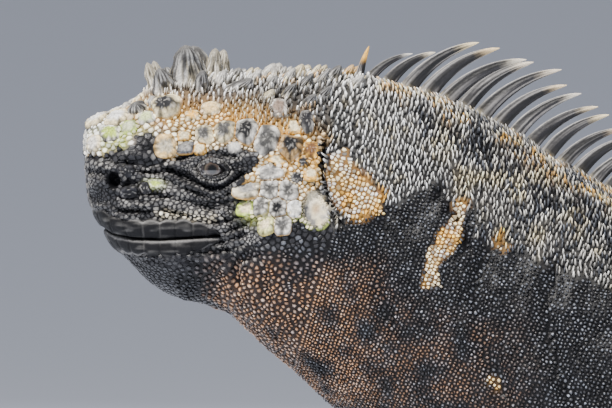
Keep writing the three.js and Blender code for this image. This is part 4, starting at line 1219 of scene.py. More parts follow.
def ringed_forms(name, forms, arms):
    """Joins forms that are each a stack of rings and a tip into one mesh, with their colours."""
    points, inks, faces, start = [], [], [], 0
    for rings, shades in forms:
        points.append(rings.reshape(-1, 3))
        inks.append(shades.reshape(-1, 3))
        faces += ring_faces(arms, len(rings), start)
        start += len(rings) * arms
    piece = new_mesh(name, np.concatenate(points), np.concatenate(faces))
    colour(piece, np.clip(np.concatenate(inks), 0, 1), np.full(start, 0.75))
    choose(piece)
    bpy.ops.object.mode_set(mode="EDIT")
    bpy.ops.mesh.select_all(action="SELECT")
    bpy.ops.mesh.remove_doubles(threshold=0.000002)
    bpy.ops.object.mode_set(mode="OBJECT")
    piece.data.shade_smooth()
    return piece


def seam_ink(point):
    """Colour of the thin seam round a plate: amber over the brow, lime on the cheek, dark below."""
    if not inside(point[:1], point[2:], CRUST)[0]:
        return SOOT
    low_cheek = ease_in(171, 164, point[2]) * ease_in(64, 54, point[0])
    warm = mixed(AMBER, mixed(LIME, CREAM, 0.3), low_cheek)
    return mixed(mixed(warm, DUSK, 0.3), DUSK, ease_in(26, 18, point[0]))


PLATE_ARMS = 28
turns = around(PLATE_ARMS)
plate_near = neighbours(plate_points, 9)
plate_forms = []
for i, (point, normal, long, tall, rise, profile, core, rim) in enumerate(plates):
    domed = profile is DOME
    rays = plate_along[i] * np.cos(turns)[:, None] + plate_across[i] * np.sin(turns)[:, None]
    reach = np.abs(np.cos(turns) / long) ** SQUARENESS + np.abs(np.sin(turns) / tall) ** SQUARENESS
    ragged = 1 + 0.16 * (noise(point + rays * 3, 1.6, 45) - 0.5)
    reach = reach ** (-1 / SQUARENESS) * SPREAD * ragged
    size = long * tall
    rise *= 0.85 if domed else 0.7
    for j in plate_near[i]:
        away = plate_points[j] - point
        facing = rays @ away
        edge = (away @ away + size - plate_half[j].prod()) / (2 * np.maximum(facing, FACING))
        edge = np.maximum(edge * SEAM, 0.3 * long)
        reach = np.where(facing > FACING, np.minimum(reach, edge), reach)
    seam = seam_ink(point)
    up = plate_across[i] * np.sign(plate_across[i][2]) * tall * (0.34 if domed else 0.05)
    rings, shades = [], []
    for width, high in profile:
        lift = high if high < 0 else high * rise
        ring = point + rays * (reach * width)[:, None] + normal * lift + up * min(1.0 - width, 0.75)
        pits = noise(ring, 0.55, 41) - 0.5 + 0.9 * (noise(ring, 1.5, 42) - 0.5)
        ring = ring + normal * (pits * 0.36 * min(rise, 2) * (high > 0.4))[:, None]
        rings.append(ring)
        wheel = np.stack([np.cos(turns) * 4 + i * 7, np.sin(turns) * 4, turns * 0 + width], -1)
        spokes = noise(wheel, 1, 47)
        out = width + 0.2 * (noise(ring, 0.6, 43) - 0.5) + 0.2 * (spokes - 0.5)
        tone = ease_in(0.46, 0.86, out) if domed else ease_in(0.4, 0.74, out)
        shade = mixed(core * 0.8, rim * (0.1 + 0.8 * ease_in(0.2, 0.75, spokes))[:, None], tone)
        shade = shade * (0.4 + 1.2 * noise(ring, 0.5, 44))[:, None]
        shade = mixed(shade, CHALK * 0.8, 0.35 * ease_in(0.66, 0.8, noise(ring, 0.45, 46)))
        shades.append(mixed(shade, seam, 0.9 if high < 0 else 0.4 if high < 0.36 else 0))
    plate_forms.append((np.array(rings), np.array(shades)))
head_plates = ringed_forms("head_plates", plate_forms, PLATE_ARMS)
print("head plates have", len(head_plates.data.polygons), "triangles")

# %% Horns of the crown
CROWN_HORNS = [  # behind, aside, half length, half width, rise, lean, tip ink
    (15, 3, 2.6, 2.4, 2.2, 0, CHALK), (18.5, 10.5, 3.2, 2.6, 3.2, 0.1, BLACK),
    (24.2, 3.5, 2.3, 2.2, 9, 0.05, mixed(ASH, CREAM, 0.4)), (27, 8, 3.6, 3.0, 7.6, 0.08, BLACK),
    (35, 6.5, 5.4, 4.0, 12.2, 0.03, BLACK), (42.6, 3.5, 2.9, 2.6, 9.2, 0.08, mixed(ASH, CREAM, 0.4)),
    (38.8, 12, 2.4, 2.2, 7.2, 0.1, BLACK), (49, 5, 2.4, 2.4, 3.6, 0.4, ASH),
    (50, 13, 3.4, 2.0, 3.4, 1.3, BLACK), (60, 3.5, 3.2, 2.6, 5, 0.3, CHALK),
    (61, 11.5, 2.2, 2.0, 3.6, 0.4, ASH), (69, 5, 2.6, 2.2, 4.2, 0.5, CREAM),
    (71.5, 13.5, 2.4, 1.9, 5, 0.6, BLACK), (80, 8.5, 2.6, 2.2, 4.6, 0.6, BLACK),
    (23.5, 11.5, 1.9, 1.9, 3.2, 0.2, CHALK), (30, 1.2, 2.0, 2.0, 3.6, 0.2, CHALK),
    (45, 9.5, 1.8, 1.7, 4.4, 0.3, CHALK), (53.5, 1.8, 1.7, 1.6, 3.4, 0.4, CREAM),
    (55.5, 9, 1.9, 1.7, 4.2, 0.5, CHALK), (64, 2.6, 1.8, 1.7, 3.8, 0.4, CHALK),
    (66, 9, 1.9, 1.7, 4.4, 0.6, CHALK), (66, 16, 1.8, 1.6, 4, 0.7, BLACK),
    (74.5, 1.6, 1.9, 1.7, 4.0, 0.5, CREAM), (76.5, 12.4, 1.8, 1.6, 4.6, 0.8, ASH),
    (77, 18.5, 1.8, 1.6, 4.4, 0.8, BLACK), (84.5, 3.4, 1.9, 1.7, 4.2, 0.5, AMBER),
    (87, 12.5, 1.7, 1.5, 4.2, 0.6, CHALK), (72.5, 19.8, 1.9, 1.6, 4.2, 0.7, BLACK),
    (60, 17, 1.8, 1.7, 3.4, 0.5, CREAM),
]
HORN_ARMS, HORN_RINGS = 56, 14
STAGGER, SUNK = 0.9, 0.6  # the right horns stand further back than the left ones; roots in the skin
turns = around(HORN_ARMS)
horn_forms = []
horn_places = []
for behind, aside, long, wide, rise, lean, tip_ink in CROWN_HORNS:
    for sign in (-1, 1):
        point, normal = from_above(behind + sign * STAGGER, sign * aside)
        along, across = (way[0] for way in frames(normal[None], BACKWARDS))
        horn_places.append((point, along, across, long, wide))
        flute = rng.uniform(0, 2 * np.pi)
        rings, shades = [], []
        for k in range(HORN_RINGS + 1):
            t = k / HORN_RINGS
            width = 1.26 * (1 - 0.6 * t) * (1 - t**5) ** 0.5
            bundle = [np.cos(turns) * 8 + flute, np.sin(turns) * 8, turns * 0 + t * 3]
            fibre = noise(np.stack(bundle, -1), 1, 50)
            fade = math.sin(math.pi * min(t + 0.12, 1)) ** 0.4
            groove = 1 + 0.44 * (fibre - 0.5) * fade
            side = along * (np.cos(turns) * long)[:, None] + across * (np.sin(turns) * wide)[:, None]
            lift = -SUNK + (rise + SUNK) * t
            ring = point + side * (width * groove)[:, None] + normal * lift + along * lean * rise * t**1.5
            lumps = 0.2 * (noise(ring, 0.9, 51) - 0.5) + 0.5 * (noise(ring, 3.2, 54) - 0.5)
            ring = ring + side * (lumps * width)[:, None]
            rings.append(ring)
            streak = noise(np.stack([turns * 11 + flute, turns * 0, turns * 0 + t * 1.6], -1), 1, 52)
            foot = mixed(CHALK, CREAM, noise(ring, 2, 53))
            up_streak = ease_in(-0.15, 0.42, t + 0.9 * (streak - 0.5))
            shade = mixed(foot, mixed(tip_ink, ASH, 0.36), up_streak)
            shade = mixed(shade, SALT, 0.5 * ease_in(0.6, 0.76, fibre) * (1 - 0.8 * t))
            shade = mixed(shade, ASH, 0.5 * ease_in(0.85, 1, t))
            # Painted shade: each ring is painted darker where the horn's flutes cut in.
            shades.append(shade * np.clip(0.64 + 4.5 * (groove - 0.98), 0.12, 1.0)[:, None])
        horn_forms.append((np.array(rings), np.array(shades)))
crown_horns = ringed_forms("crown_horns", horn_forms, HORN_ARMS)
print(len(horn_forms), "horns with", len(crown_horns.data.polygons), "triangles")

# %% [markdown]
# ## Sowing the head
# Thousands of places are drawn on the head's skin. Each gets the width that a scale has there:
# narrow round the eye, broad on throat and snout. Those under a plate, in the mouth, the nostril,
# the eye or the ear are dropped.

# %% Sowing the head
DRAWS = 150_000
SOWN_END = {"behind": 95.4, "high": 206, "lean": 0.302}  # just behind the head's end, seen from the side
MARGIN = 1.06  # plates, horns and lips keep scales off this much more than their own reach
EDGE_SIZE = 1.15  # of the neck's scales that the head's meet


def scattered(obj, count, wanted):
    """Random places on the faces of a mesh whose middle passes the test."""
    obj.data.calc_loop_triangles()
    corners = points_of(obj)[read(obj.data.loop_triangles, "vertices", kind=np.int32)]
    corners = corners[wanted(corners.mean(1))]
    area = np.cross(corners[:, 1] - corners[:, 0], corners[:, 2] - corners[:, 0])
    area = np.linalg.norm(area, axis=1)
    drawn = corners[rng.choice(len(corners), count, p=area / area.sum())]
    share = rng.random((count, 2))
    share = np.where(share.sum(1, keepdims=True) > 1, 1 - share, share)
    first, second, third = drawn[:, 0], drawn[:, 1], drawn[:, 2]
    return first + (second - first) * share[:, :1] + (third - first) * share[:, 1:]


def in_the_head(points):
    """True in front of the line where the head's scales end."""
    return points[:, 0] < SOWN_END["behind"] - (SOWN_END["high"] - points[:, 2]) * SOWN_END["lean"]


def head_gap(points):
    """Width of the head's scales at points."""
    behind, high = points[:, 0], points[:, 2]
    gap = np.full(len(points), 0.92)
    gap = np.where(high > 178, 1.0, gap)
    gap = np.where((high < 152) & (behind > 30), 1.25, gap)
    gap = np.where((high < 160) & (behind > 58), 1.1, gap)
    gap = np.where((behind > 60) & (high > 186), 1.1, gap)
    gap = np.where((behind < 26) & (high > 178), 1.4, gap)
    lids = ease_in(2.0, 9.0, from_slit(behind, high))
    gap = np.where(np.abs(points[:, 1]) > 5, gap * (0.66 + 0.34 * lids), gap)
    return gap * (0.7 + 0.75 * noise(points, 3, 9))


def under_forms(points):
    """True for points under a plate or a horn."""
    hidden = np.zeros(len(points), bool)
    footprints = [
        (point, plate_along[i], plate_across[i], *plate_half[i]) for i, point in enumerate(plate_points)
    ] + horn_places
    for point, along, across, long, wide in footprints:
        away = points - point
        close = np.abs(away).max(-1) < 8
        hidden |= close & (np.hypot(away @ along / long, away @ across / wide) < MARGIN)
    return hidden


def in_openings(points):
    """True for points in the mouth, between the lids, in a nostril or on the eardrum."""
    behind, aside, high = points[:, 0], np.abs(points[:, 1]), points[:, 2]
    mouth = np.abs(lip_place(points)[1]) < MARGIN
    eye = (from_slit(behind, high) < 0.9) & (aside > 8) & (behind < 70)
    nostril = (from_oval(behind, high, NOSTRIL) < 1.2) & (aside > 5)
    drum = (from_oval(behind, high, EAR) < 0.98) & (aside > 10)
    return mouth | eye | nostril | drum | (from_line(behind, high, NECK_CRACK) < 0.7)


body_points, body_normals = nearest_skin(body_seeds)
clear = (np.linalg.norm(body_points - body_seeds, axis=1) < 3.4) & ~in_openings(body_points)
body_points, body_normals = body_points[clear], body_normals[clear]
drawn = scattered(skin, DRAWS, in_the_head)
drawn = drawn[~under_forms(drawn) & ~in_openings(drawn)]
edge = body_points[(body_points[:, 0] < 110) & (body_points[:, 0] > 55)]
LONG_SCALES = np.array([0.62, 1, 1.28])  # the head's scales are longer than they are tall
edge_sizes = np.full(len(edge), EDGE_SIZE)
kept = sow_at_random(drawn * LONG_SCALES, head_gap(drawn), edge * LONG_SCALES, edge_sizes)
head_points, head_normals = nearest_skin(drawn[kept])
print(len(head_points), "scales on the head,", len(body_points), "on neck, trunk and tail")

# %% [markdown]
# The legs' seeds come last: those that fell inside the body or too near one of its scales go. Then
# every scale gets its lie, height and lean. On the back of the neck they are tall grains that point
# up and back, on throat and chest round pebbles, and on trunk and tail low keeled scales.

# %% All scales
LEG_SOWING = {"off_skin": 1.6, "size": 1.75, "body_size": 2.2, "reach": 70}
LEG_SHEET = {"start": 0.79, "apart": 0.05, "half": 0.022}
leg_parts = []
for i, (seeds, lies, places) in enumerate(legs_sown.values()):
    spots, normals = nearest_skin(seeds)
    near_skin = np.linalg.norm(spots - seeds, axis=1) < LEG_SOWING["off_skin"]
    spots, normals, lies, places = (values[near_skin] for values in (spots, normals, lies, places))
    close = body_points[np.abs(body_points - spots.mean(0)).max(-1) < LEG_SOWING["reach"]]
    leg_sizes = np.full(len(spots), LEG_SOWING["size"])
    kept = sow_at_random(spots, leg_sizes, close, np.full(len(close), LEG_SOWING["body_size"]))
    turn = np.arctan2(normals[kept][:, 1], normals[kept][:, 2])
    strip = LEG_SHEET["start"] + LEG_SHEET["apart"] * i
    sheet = np.stack([strip + LEG_SHEET["half"] * (1 + turn / np.pi), places[kept]], -1)
    leg_parts.append((spots[kept], normals[kept], lies[kept], sheet))
leg_points, leg_normals, leg_lies, leg_sheet = (np.concatenate(part) for part in zip(*leg_parts))

points = np.concatenate([head_points, body_points, leg_points])
normals = np.concatenate([head_normals, body_normals, leg_normals])
place_of = np.repeat([0, 1, 2], [len(head_points), len(body_points), len(leg_points)])
sheet = np.concatenate([unwrap(head_points), unwrap(body_points), leg_sheet])
behind, aside, high = points[:, 0], np.abs(points[:, 1]), points[:, 2]
on_leg, on_head = place_of == 2, place_of == 0
peeled = (inside(behind, high, PEELING) | inside(behind, high, BEHIND_EAR)) & ~on_leg
pale = on_pale(points) & ~on_leg & ~on_head & ~peeled
crusted = inside(behind, high, CRUST) & on_head
shaggy = np.maximum(ease_in(40, 58, behind) * ease_in(185, 192, high), ease_in(193, 199, high)) * on_head
shaggy *= ease_in(10, 20, behind)
shaggy = np.maximum(shaggy, on_head & on_pale(points) & (behind > 77) & ~peeled)
trunk = ease_in(165, 215, behind) * ~on_head
lie = np.tile([1.0, 0.0, 0.1], (len(points), 1))
lie[pale] = (0.08, 0, 1)
lie[(trunk > 0.5) & ~on_leg] = (1, 0, -0.12)
lie[on_head & (shaggy > 0.3)] = (0.2, 0, 1)
lie[on_leg] = leg_lies
body_sizes = np.interp(behind, [150, 230, 420, 900], [1.4, 2.4, 2.7, 2.9])
sizes = np.where(on_head, 1.25 * head_gap(points), body_sizes)
sizes = np.where(pale & (trunk < 0.5), 1.9, sizes)
sizes[on_leg] = 2.2
heights = np.where(pale, 1.25, 0.5) * (1 - trunk) + trunk * np.where(pale, 1.0, 0.75)
throat = on_head & (high < 152) & (behind > 30)
heights = np.where(on_head, 0.24 + 0.3 * throat + 0.4 * crusted + 1.4 * shaggy, heights)
heights *= np.where(on_head, 0.6 + 0.4 * ease_in(1, 6, from_slit(behind, high) + 20 * (aside < 8)), 1)
heights[on_leg] = 0.6
leans = np.where(pale, 1.5, 0.25) * (1 - trunk) + trunk * 1.1
leans = np.where(on_head, 0.2 + 1.0 * shaggy, leans)
leans[on_leg] = 0.7
heights *= rng.uniform(0.55, 1.45, len(points))
leans *= rng.uniform(0.5, 1.5, len(points))
keeled = on_leg | ((trunk > 0.5) & ~on_head)
grainy = pale | (shaggy > 0.3)
kinds = [keeled, grainy, throat, on_head | peeled]
kinds = np.select(kinds, ["keel", "grain", "pebble", "flake"], "pebble")
regions = [on_leg, on_head, behind > SWING["start"], keeled]
regions = np.select(regions, ["leg", "head", "tail", "trunk"], "neck")
print(len(points), "scales in all")

# %% Coats
ARMS = 6
MOST = 190_000  # triangles of one piece
along, across = frames(normals, lie)
swirl = rng.normal(0, np.where(keeled, 0.1, 0.22))[:, None]
swirled = along * np.cos(swirl) + across * np.sin(swirl)
along, across = swirled, across * np.cos(swirl) - along * np.sin(swirl)
rays, radii = cell_rays(points, along, across, sizes, ARMS, neighbours(points, 8))
narrow = np.where(grainy, 0.42, 0)[:, None] * np.abs(np.sin(around(ARMS, 0.5)))
radii *= (1 - narrow) * rng.uniform(0.84, 1.04, radii.shape)
radii[kinds == "pebble"] *= 0.88  # round grains leave dark skin between them
tips, roots, roughs = markings(points)
calm = np.where(on_head & ~crusted & ~throat, 0.6, 1)[:, None]
bright = np.exp(rng.normal(0, 0.3, (len(points), 1)) * calm)
tips, roots = tips * bright, roots * bright
per_scale = (points, normals, along, rays, radii, heights, leans, tips, roots, roughs, sheet)
coats = []
for region in ("head", "neck", "trunk", "tail", "leg"):
    for kind in PROFILES:
        chosen = np.flatnonzero((regions == region) & (kinds == kind))
        if not len(chosen):
            continue
        chosen = chosen[np.argsort(points[chosen, 0], kind="stable")]
        pieces = math.ceil(len(chosen) * ARMS * (2 * len(PROFILES[kind]) - 3) / MOST)
        for i, part in enumerate(np.array_split(chosen, pieces)):
            name = f"{region}_{kind}s_{i + 1}"
            coats.append(grown(name, PROFILES[kind], *(values[part] for values in per_scale)))
            print(coats[-1].name, len(part), "scales,", len(coats[-1].data.polygons), "triangles")

# %% [markdown]
# ## Crest
# The crest is one row of long scales from the nape to the tail's tip, each a flattened, fluted cone
# that rises steeply and sweeps back. They stand where the solids' spines stand, so the same heights,
# places and seeded draws are used, with many more rings and a keel down each side.

# %% Crest spines
SWEEP = {"root": math.radians(58), "tip": math.radians(8), "sunk": 0.16}
HEAD_SPINES = ((5.6, 10, 0.4), (2.9, 16, 0))  # how far before the nape, how tall and how upright
NECK_SPINES = (19, 27, 30, 30, 29, 28, 26, 25, 24, 24, 23, 23, 22, 22, 21, 21, 20)
SPINE_ARMS, SPINE_RINGS = 32, 14
HORN_GREY, HORN_PALE = ink(33, 32, 35), ink(184, 180, 177)
BROADER = 1.15  # the spines of the solids are this much narrower
POINT = 0.995  # the last ring stops just short of the tip, so that it keeps a width


def seeded(state):
    """A plain seeded draw between -0.5 and 0.5, the same one that grew the solids' spines."""
    while True:
        state = (state * 1664525 + 1013904223) % 4294967296
        yield state / 4294967296 - 0.5


def spine(s, tall, base, thick, jitter, tip_ink, tip_from=0.74, bend=1.0):
    """Rings of one spine at s on the back, and their colours."""
    start, turn_by = SWEEP["root"] + jitter, (SWEEP["tip"] - SWEEP["root"]) * bend
    size = tall * (1 + SWEEP["sunk"])
    back_x, back_z = through(knots, table[:, 0], s), through(knots, table[:, 1], s)
    turns = around(SPINE_ARMS)
    spot = np.stack([np.cos(turns) * 5.2 + s, np.sin(turns) * 2.6, turns * 0], -1)
    sunk = tall * SWEEP["sunk"]
    rings, shades = [], []
    for k in range(SPINE_RINGS):
        t = min(k / (SPINE_RINGS - 1), POINT) ** 0.9
        heading = start + turn_by * t
        ahead = size * (math.sin(heading) - math.sin(start)) / turn_by - sunk * math.cos(start)
        above = -size * (math.cos(heading) - math.cos(start)) / turn_by - sunk * math.sin(start)
        taper = (1 - t) ** 0.6
        streak = noise(spot + (0, 0, t * 1.4), 1, 61)
        flute = 1 + 0.34 * (streak - 0.5) - 0.16 * np.abs(np.cos(turns * 3))
        across, side = np.cos(turns) * base * BROADER * taper, np.sin(turns) * thick * taper * flute
        x = back_x + ahead - math.sin(heading) * across
        rings.append(on_plan(x, side, back_z + above + math.cos(heading) * across))
        shade = mixed(HORN_GREY, HORN_PALE, ease_in(0.6, 0.78, streak) * 0.42)
        shade = mixed(shade, SOOT * 0.6, 0.95 * ease_in(0.5, 0.38, streak))
        # Painted highlights: a pale line down the spine's upper front edge and a thinner one down its rear
        # edge.
        rear_edge_highlight = 0.6 * ease_in(0.9, 0.99, -np.cos(turns)) * ease_in(0.4, 0.6, t)
        edge = ease_in(0.82, 0.97, np.cos(turns)) + rear_edge_highlight
        shade = mixed(shade, HORN_PALE, 0.75 * min(tall / 20, 1) ** 2 * edge * ease_in(0.1, 0.35, t))
        bands = noise(np.stack([turns * 0 + t * tall * 0.9, turns * 0.4 + s, turns * 0], -1), 1, 63)
        shade = shade * (0.8 + 0.4 * bands)[:, None]
        shade = mixed(shade, tip_ink, ease_in(tip_from, tip_from + 0.23, t + 0.14 * (streak - 0.5)))
        shades.append(mixed(shade, mixed(CREAM, ASH, streak), ease_in(0.2, 0.1, t) * 0.5))
    return np.array(rings), np.array(shades)


def neck_widths(t, tall):
    return 1.1 + tall * 0.055, 0.7 + tall * 0.028


def trunk_widths(t, tall):
    return 1.9, 1.0


def tail_widths(t, tall):
    return 2.1 - 0.9 * t, 1 - 0.4 * t


draw = seeded(7)
crest_forms = []
for before, tall, upright in HEAD_SPINES:
    base, thick = neck_widths(0, tall)
    tip_ink, tip_from, bend = (AMBER, 0.45, 0.3) if upright else (CHALK, 0.74, 1.0)
    place = at["nape"] - before
    crest_forms.append(spine(place, tall, base * 0.8, thick, upright, tip_ink, tip_from, bend))
neck_tall = np.array(NECK_SPINES, float)
trunk_tall = 9 + 10 * (1 - np.linspace(0, 1, 32)) ** 1.6
tail_tall = 3.2 + 7.5 * (1 - np.linspace(0, 1, 38)) ** 0.9
rows_of_spines = [  # first stop, last stop, heights, half widths along and aside
    (at["nape"] + 2, at["shoulder"] - 5, neck_tall, neck_widths),
    (at["shoulder"] + 4, at["vent"] - 5, trunk_tall, trunk_widths),
    (at["vent"] + 6, at["tip"] - 40, tail_tall, tail_widths),
]
for first, last, talls, widths in rows_of_spines:
    for i, tall in enumerate(talls):
        t = i / (len(talls) - 1)
        place = first + (last - first) * t
        tall_here = tall * (1 + 0.16 * next(draw))
        tip_ink = mixed(mixed(CHALK, CREAM, rng.random()), AMBER, rng.uniform(0, 0.4))
        crest_forms.append(spine(place, tall_here, *widths(t, tall), 0.12 * next(draw), tip_ink))
crest = ringed_forms("crest", crest_forms, SPINE_ARMS)
print(len(crest_forms), "spines with", len(crest.data.polygons), "triangles")

# %% [markdown]
# ## Claws
# A marine iguana holds on to wet rock with long curved claws, one on each of its twenty digits. They
# are dark horn, flattened at the sides, and worn paler at the tip.

# %% Claws
CLAW_ARMS, CLAW_RINGS = 12, 10
claw_forms = []
turns = around(CLAW_ARMS)
for leg_name, leg in LEGS.items():
    radii_here = RADII[leg_name[:4]]
    size = radii_here["digit"] * 2.9
    for root, heading, reach in digit_roots(leg, radii_here):
        start = root + heading * reach
        start[2] = radii_here["digit"] * 0.65
        side = np.cross(heading, (0, 0, 1))
        rings, shades = [], []
        for k in range(CLAW_RINGS):
            t = min(k / (CLAW_RINGS - 1), POINT)
            r = size * 0.18 * (1 - t) ** 0.8
            ring = start + heading * (t * 1.3 - 0.35) * size + side * (np.sin(turns) * r * 0.9)[:, None]
            bent = ring[:, 2] + np.cos(turns) * r * 1.25 - t**1.8 * size * 0.2
            ring[:, 2] = np.maximum(bent, FLOOR_GAP)
            rings.append(ring)
            shade = mixed(BLACK, mixed(ASH, CREAM, 0.3), ease_in(0.5, 1, t))
            shades.append(shade * (0.8 + 0.4 * noise(ring, 1, 62))[:, None])
        claw_forms.append((np.array(rings), np.array(shades)))
claws = ringed_forms("claws", claw_forms, CLAW_ARMS)
print(len(claw_forms), "claws with", len(claws.data.polygons), "triangles")

# %% [markdown]
# ## Eyes and lids
# The eyeball is a sphere from a primitive; its iris is painted on the side that faces out. What
# makes an eye look alive is its edge: the lids of soft skin lie on the ball, and three rows of small
# beads run along them, one above the slit and two below.

# %% Eyes
eyes = []
for side, sign in (("left", -1), ("right", 1)):
    low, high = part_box(f"eye_{side}")
    spot = [(a + b) / 2 for a, b in zip(low, high)]
    radius = (high[2] - low[2]) / 2
    bpy.ops.object.select_all(action="DESELECT")
    bpy.ops.mesh.primitive_uv_sphere_add(segments=48, ring_count=32, radius=radius, location=spot)
    ball = bpy.context.object
    ball.name = ball.data.name = f"eyeball_{side}"
    bpy.ops.object.transform_apply(location=True, rotation=True, scale=True)
    bpy.ops.object.shade_smooth()
    eyes.append((ball, spot, sign * radius))
print("eyeballs", round(radius / MM, 2), "mm in radius")

# %% Lids
BEAD_ARMS = 8
BEAD_PROFILE = ((1.0, -0.5), (0.96, 0.3), (0.75, 0.72), (0.4, 0.95), (0, 1))
BEAD_ROWS = (  # half length and height of the arc, its middle's height, angles, beads, size, rise
    (5.9, 3.5, EYE["high"] - 0.6, np.linspace(math.pi * 1.04, math.pi * 1.94, 17), 0.74, 0.8),
    (5.2, 3.0, EYE["high"] + 0.1, np.linspace(0.12, math.pi - 0.12, 19), 0.5, 0.5),
    (4.4, 2.6, EYE["high"] - 0.3, np.linspace(math.pi * 1.08, math.pi * 1.92, 18), 0.42, 0.45),
)
turns = around(BEAD_ARMS)
lid_forms = []
for sign in (-1, 1):
    for long, tall, level, angles, half, rise in BEAD_ROWS:
        for angle in angles:
            behind = EYE["behind"] + SLIT["behind"] + long * math.cos(angle)
            high = level + tall * math.sin(angle)
            dx, dz = rng.uniform(-0.12, 0.12, 2)
            wide = half * rng.uniform(0.72, 1.05) * rng.uniform(0.8, 1.1, BEAD_ARMS)[:, None]
            glint = rng.uniform(0.15, 1)
            point, normal = from_side(behind + dx, high + dz, sign)
            along, across = frames(normal[None], BACKWARDS)
            rays = along * np.cos(turns)[:, None] + across * np.sin(turns)[:, None]
            rings = [point + rays * wide * w + normal * (h * rise if h > 0 else h) for w, h in BEAD_PROFILE]
            shades = [np.tile(mixed(SOOT, ASH, glint * max(h, 0)), (BEAD_ARMS, 1)) for _, h in BEAD_PROFILE]
            lid_forms.append((np.array(rings), np.array(shades)))
lids = ringed_forms("lids", lid_forms, BEAD_ARMS)
print(len(lid_forms), "beads on the lids")

# %% [markdown]
# ## Finishes
# Every finish reads the ink kept on the points, so the markings come through, and adds what is too
# small to model: grains of salt, a dull bloom and fine roughness. The noises read Object coordinates
# in metres, so a scale of 1000 makes grains of about a millimetre. The roughness is the ink's alpha.
# A node's inputs are fed in one go, each with a plain value or with another node's output.

# %% Finishes
ROUGH_SPREAD = 0.22  # how much the grains vary the roughness


def new_material(name):
    """A material with its tree of nodes and its shader."""
    material = bpy.data.materials.new(name)
    material.use_nodes = True
    return material, material.node_tree, material.node_tree.nodes["Principled BSDF"]


def feed(tree, node, inputs):
    """Sets each of a node's inputs to a value, or links it to another node's output."""
    for socket, source in inputs.items():
        if isinstance(source, bpy.types.NodeSocket):
            tree.links.new(source, node.inputs[socket])
        else:
            node.inputs[socket].default_value = source


def add_node(tree, kind, inputs, **settings):
    """Adds a node with its settings and its inputs, and returns its outputs."""
    node = tree.nodes.new(f"ShaderNode{kind}")
    for setting, value in settings.items():
        setattr(node, setting, value)
    feed(tree, node, inputs)
    return node.outputs


def finish(name, speckle, grain, bump, gloss, shift=0.0):
    """Material of inked points with speckles of salt, grain metres across, and a fine bump."""
    material, tree, shader = new_material(name)
    ink_out = add_node(tree, "Attribute", {}, attribute_name="Tint")
    place = add_node(tree, "TexCoord", {})["Object"]
    grains = {"Vector": place, "Scale": 1 / grain, "Detail": 4}
    grains = add_node(tree, "TexNoise", grains)["Fac"]
    ramp = {"Value": grains, "From Min": 0.3, "From Max": 0.7, "To Min": 1 - speckle, "To Max": 1 + speckle}
    ramp = add_node(tree, "MapRange", ramp)["Result"]
    tone = {0: ink_out["Color"], "Scale": ramp}
    tone = add_node(tree, "VectorMath", tone, operation="SCALE")["Vector"]
    offset = {0: ink_out["Alpha"], 1: shift - ROUGH_SPREAD / 2}
    offset = add_node(tree, "Math", offset, operation="ADD")["Value"]
    dull = {0: grains, 1: ROUGH_SPREAD, 2: offset}
    dull = add_node(tree, "Math", dull, operation="MULTIPLY_ADD", use_clamp=True)["Value"]
    dents = {"Strength": bump, "Distance": grain * 0.5, "Height": grains}
    dents = add_node(tree, "Bump", dents)["Normal"]
    looks = {"Specular IOR Level": gloss, "Base Color": tone, "Roughness": dull, "Normal": dents}
    feed(tree, shader, looks)
    return material


def dress(obj, material):
    """Gives a piece one finish."""
    obj.data.materials.clear()
    obj.data.materials.append(material)


hide = finish("hide", 0.25, 0.0009, 0.5, gloss=0.15)
scale_horn = finish("scale horn", 0.22, 0.0005, 0.3, gloss=0.28)
crust = finish("salt crust", 0.3, 0.0006, 0.6, gloss=0.25, shift=0.05)
spine_horn = finish("spine horn", 0.16, 0.0012, 0.25, gloss=0.4, shift=-0.2)
claw_horn = finish("claw horn", 0.15, 0.001, 0.2, gloss=0.5, shift=-0.35)
dress(skin, hide)
for piece in coats:
    dress(piece, scale_horn)
dress(head_plates, crust)
dress(crown_horns, crust)
dress(crest, spine_horn)
dress(claws, claw_horn)
dress(lids, scale_horn)
print(len(bpy.data.materials), "finishes so far")

# %% [markdown]
# The iris is painted by distance: each eye's own material measures how far a point of the ball is
# from its pupil, and a ramp turns that into the black pupil, the brown iris and the dark rim.

# %% Finish of the eyes
IRIS = {"reach": 0.0034, "ahead": 0.0002, "up": 0.0001, "fibres": 1800}  # metres, but the fibres
IRIS_STOPS = (  # share of the reach and ink: pupil, iris, rim and the ball beyond
    (0.0, ink(5, 5, 7)), (0.34, ink(7, 7, 8)), (0.44, ink(48, 40, 36)), (0.66, ink(84, 72, 62)),
    (0.82, ink(28, 25, 25)), (1.0, ink(58, 54, 53)),
)


def eye_finish(name, spot, aside):
    """Wet material of an eyeball whose pupil lies aside from the ball's middle."""
    material, tree, shader = new_material(name)
    place = add_node(tree, "TexCoord", {})["Object"]
    pupil = (-spot[0] + IRIS["ahead"], -spot[1] - aside, -spot[2] - IRIS["up"])
    centred = add_node(tree, "Mapping", {"Vector": place, "Location": pupil})["Vector"]
    away = add_node(tree, "VectorMath", {0: centred}, operation="LENGTH")["Value"]
    share = add_node(tree, "MapRange", {"Value": away, "From Max": IRIS["reach"]})["Result"]
    ramp = tree.nodes.new("ShaderNodeValToRGB")
    while len(ramp.color_ramp.elements) < len(IRIS_STOPS):
        ramp.color_ramp.elements.new(0.5)
    for element, (stop, shade) in zip(ramp.color_ramp.elements, IRIS_STOPS):
        element.position = stop
        element.color = (*shade, 1)
    feed(tree, ramp, {"Fac": share})
    fibres = add_node(tree, "TexNoise", {"Vector": place, "Scale": IRIS["fibres"]})["Color"]
    tone = {"Factor": 0.5, "A": ramp.outputs["Color"], "B": fibres}
    tone = add_node(tree, "Mix", tone, data_type="RGBA", blend_type="MULTIPLY")["Result"]
    looks = {"Base Color": tone, "Roughness": 0.08, "Coat Weight": 1.0, "Coat Roughness": 0.03}
    feed(tree, shader, looks)
    return material


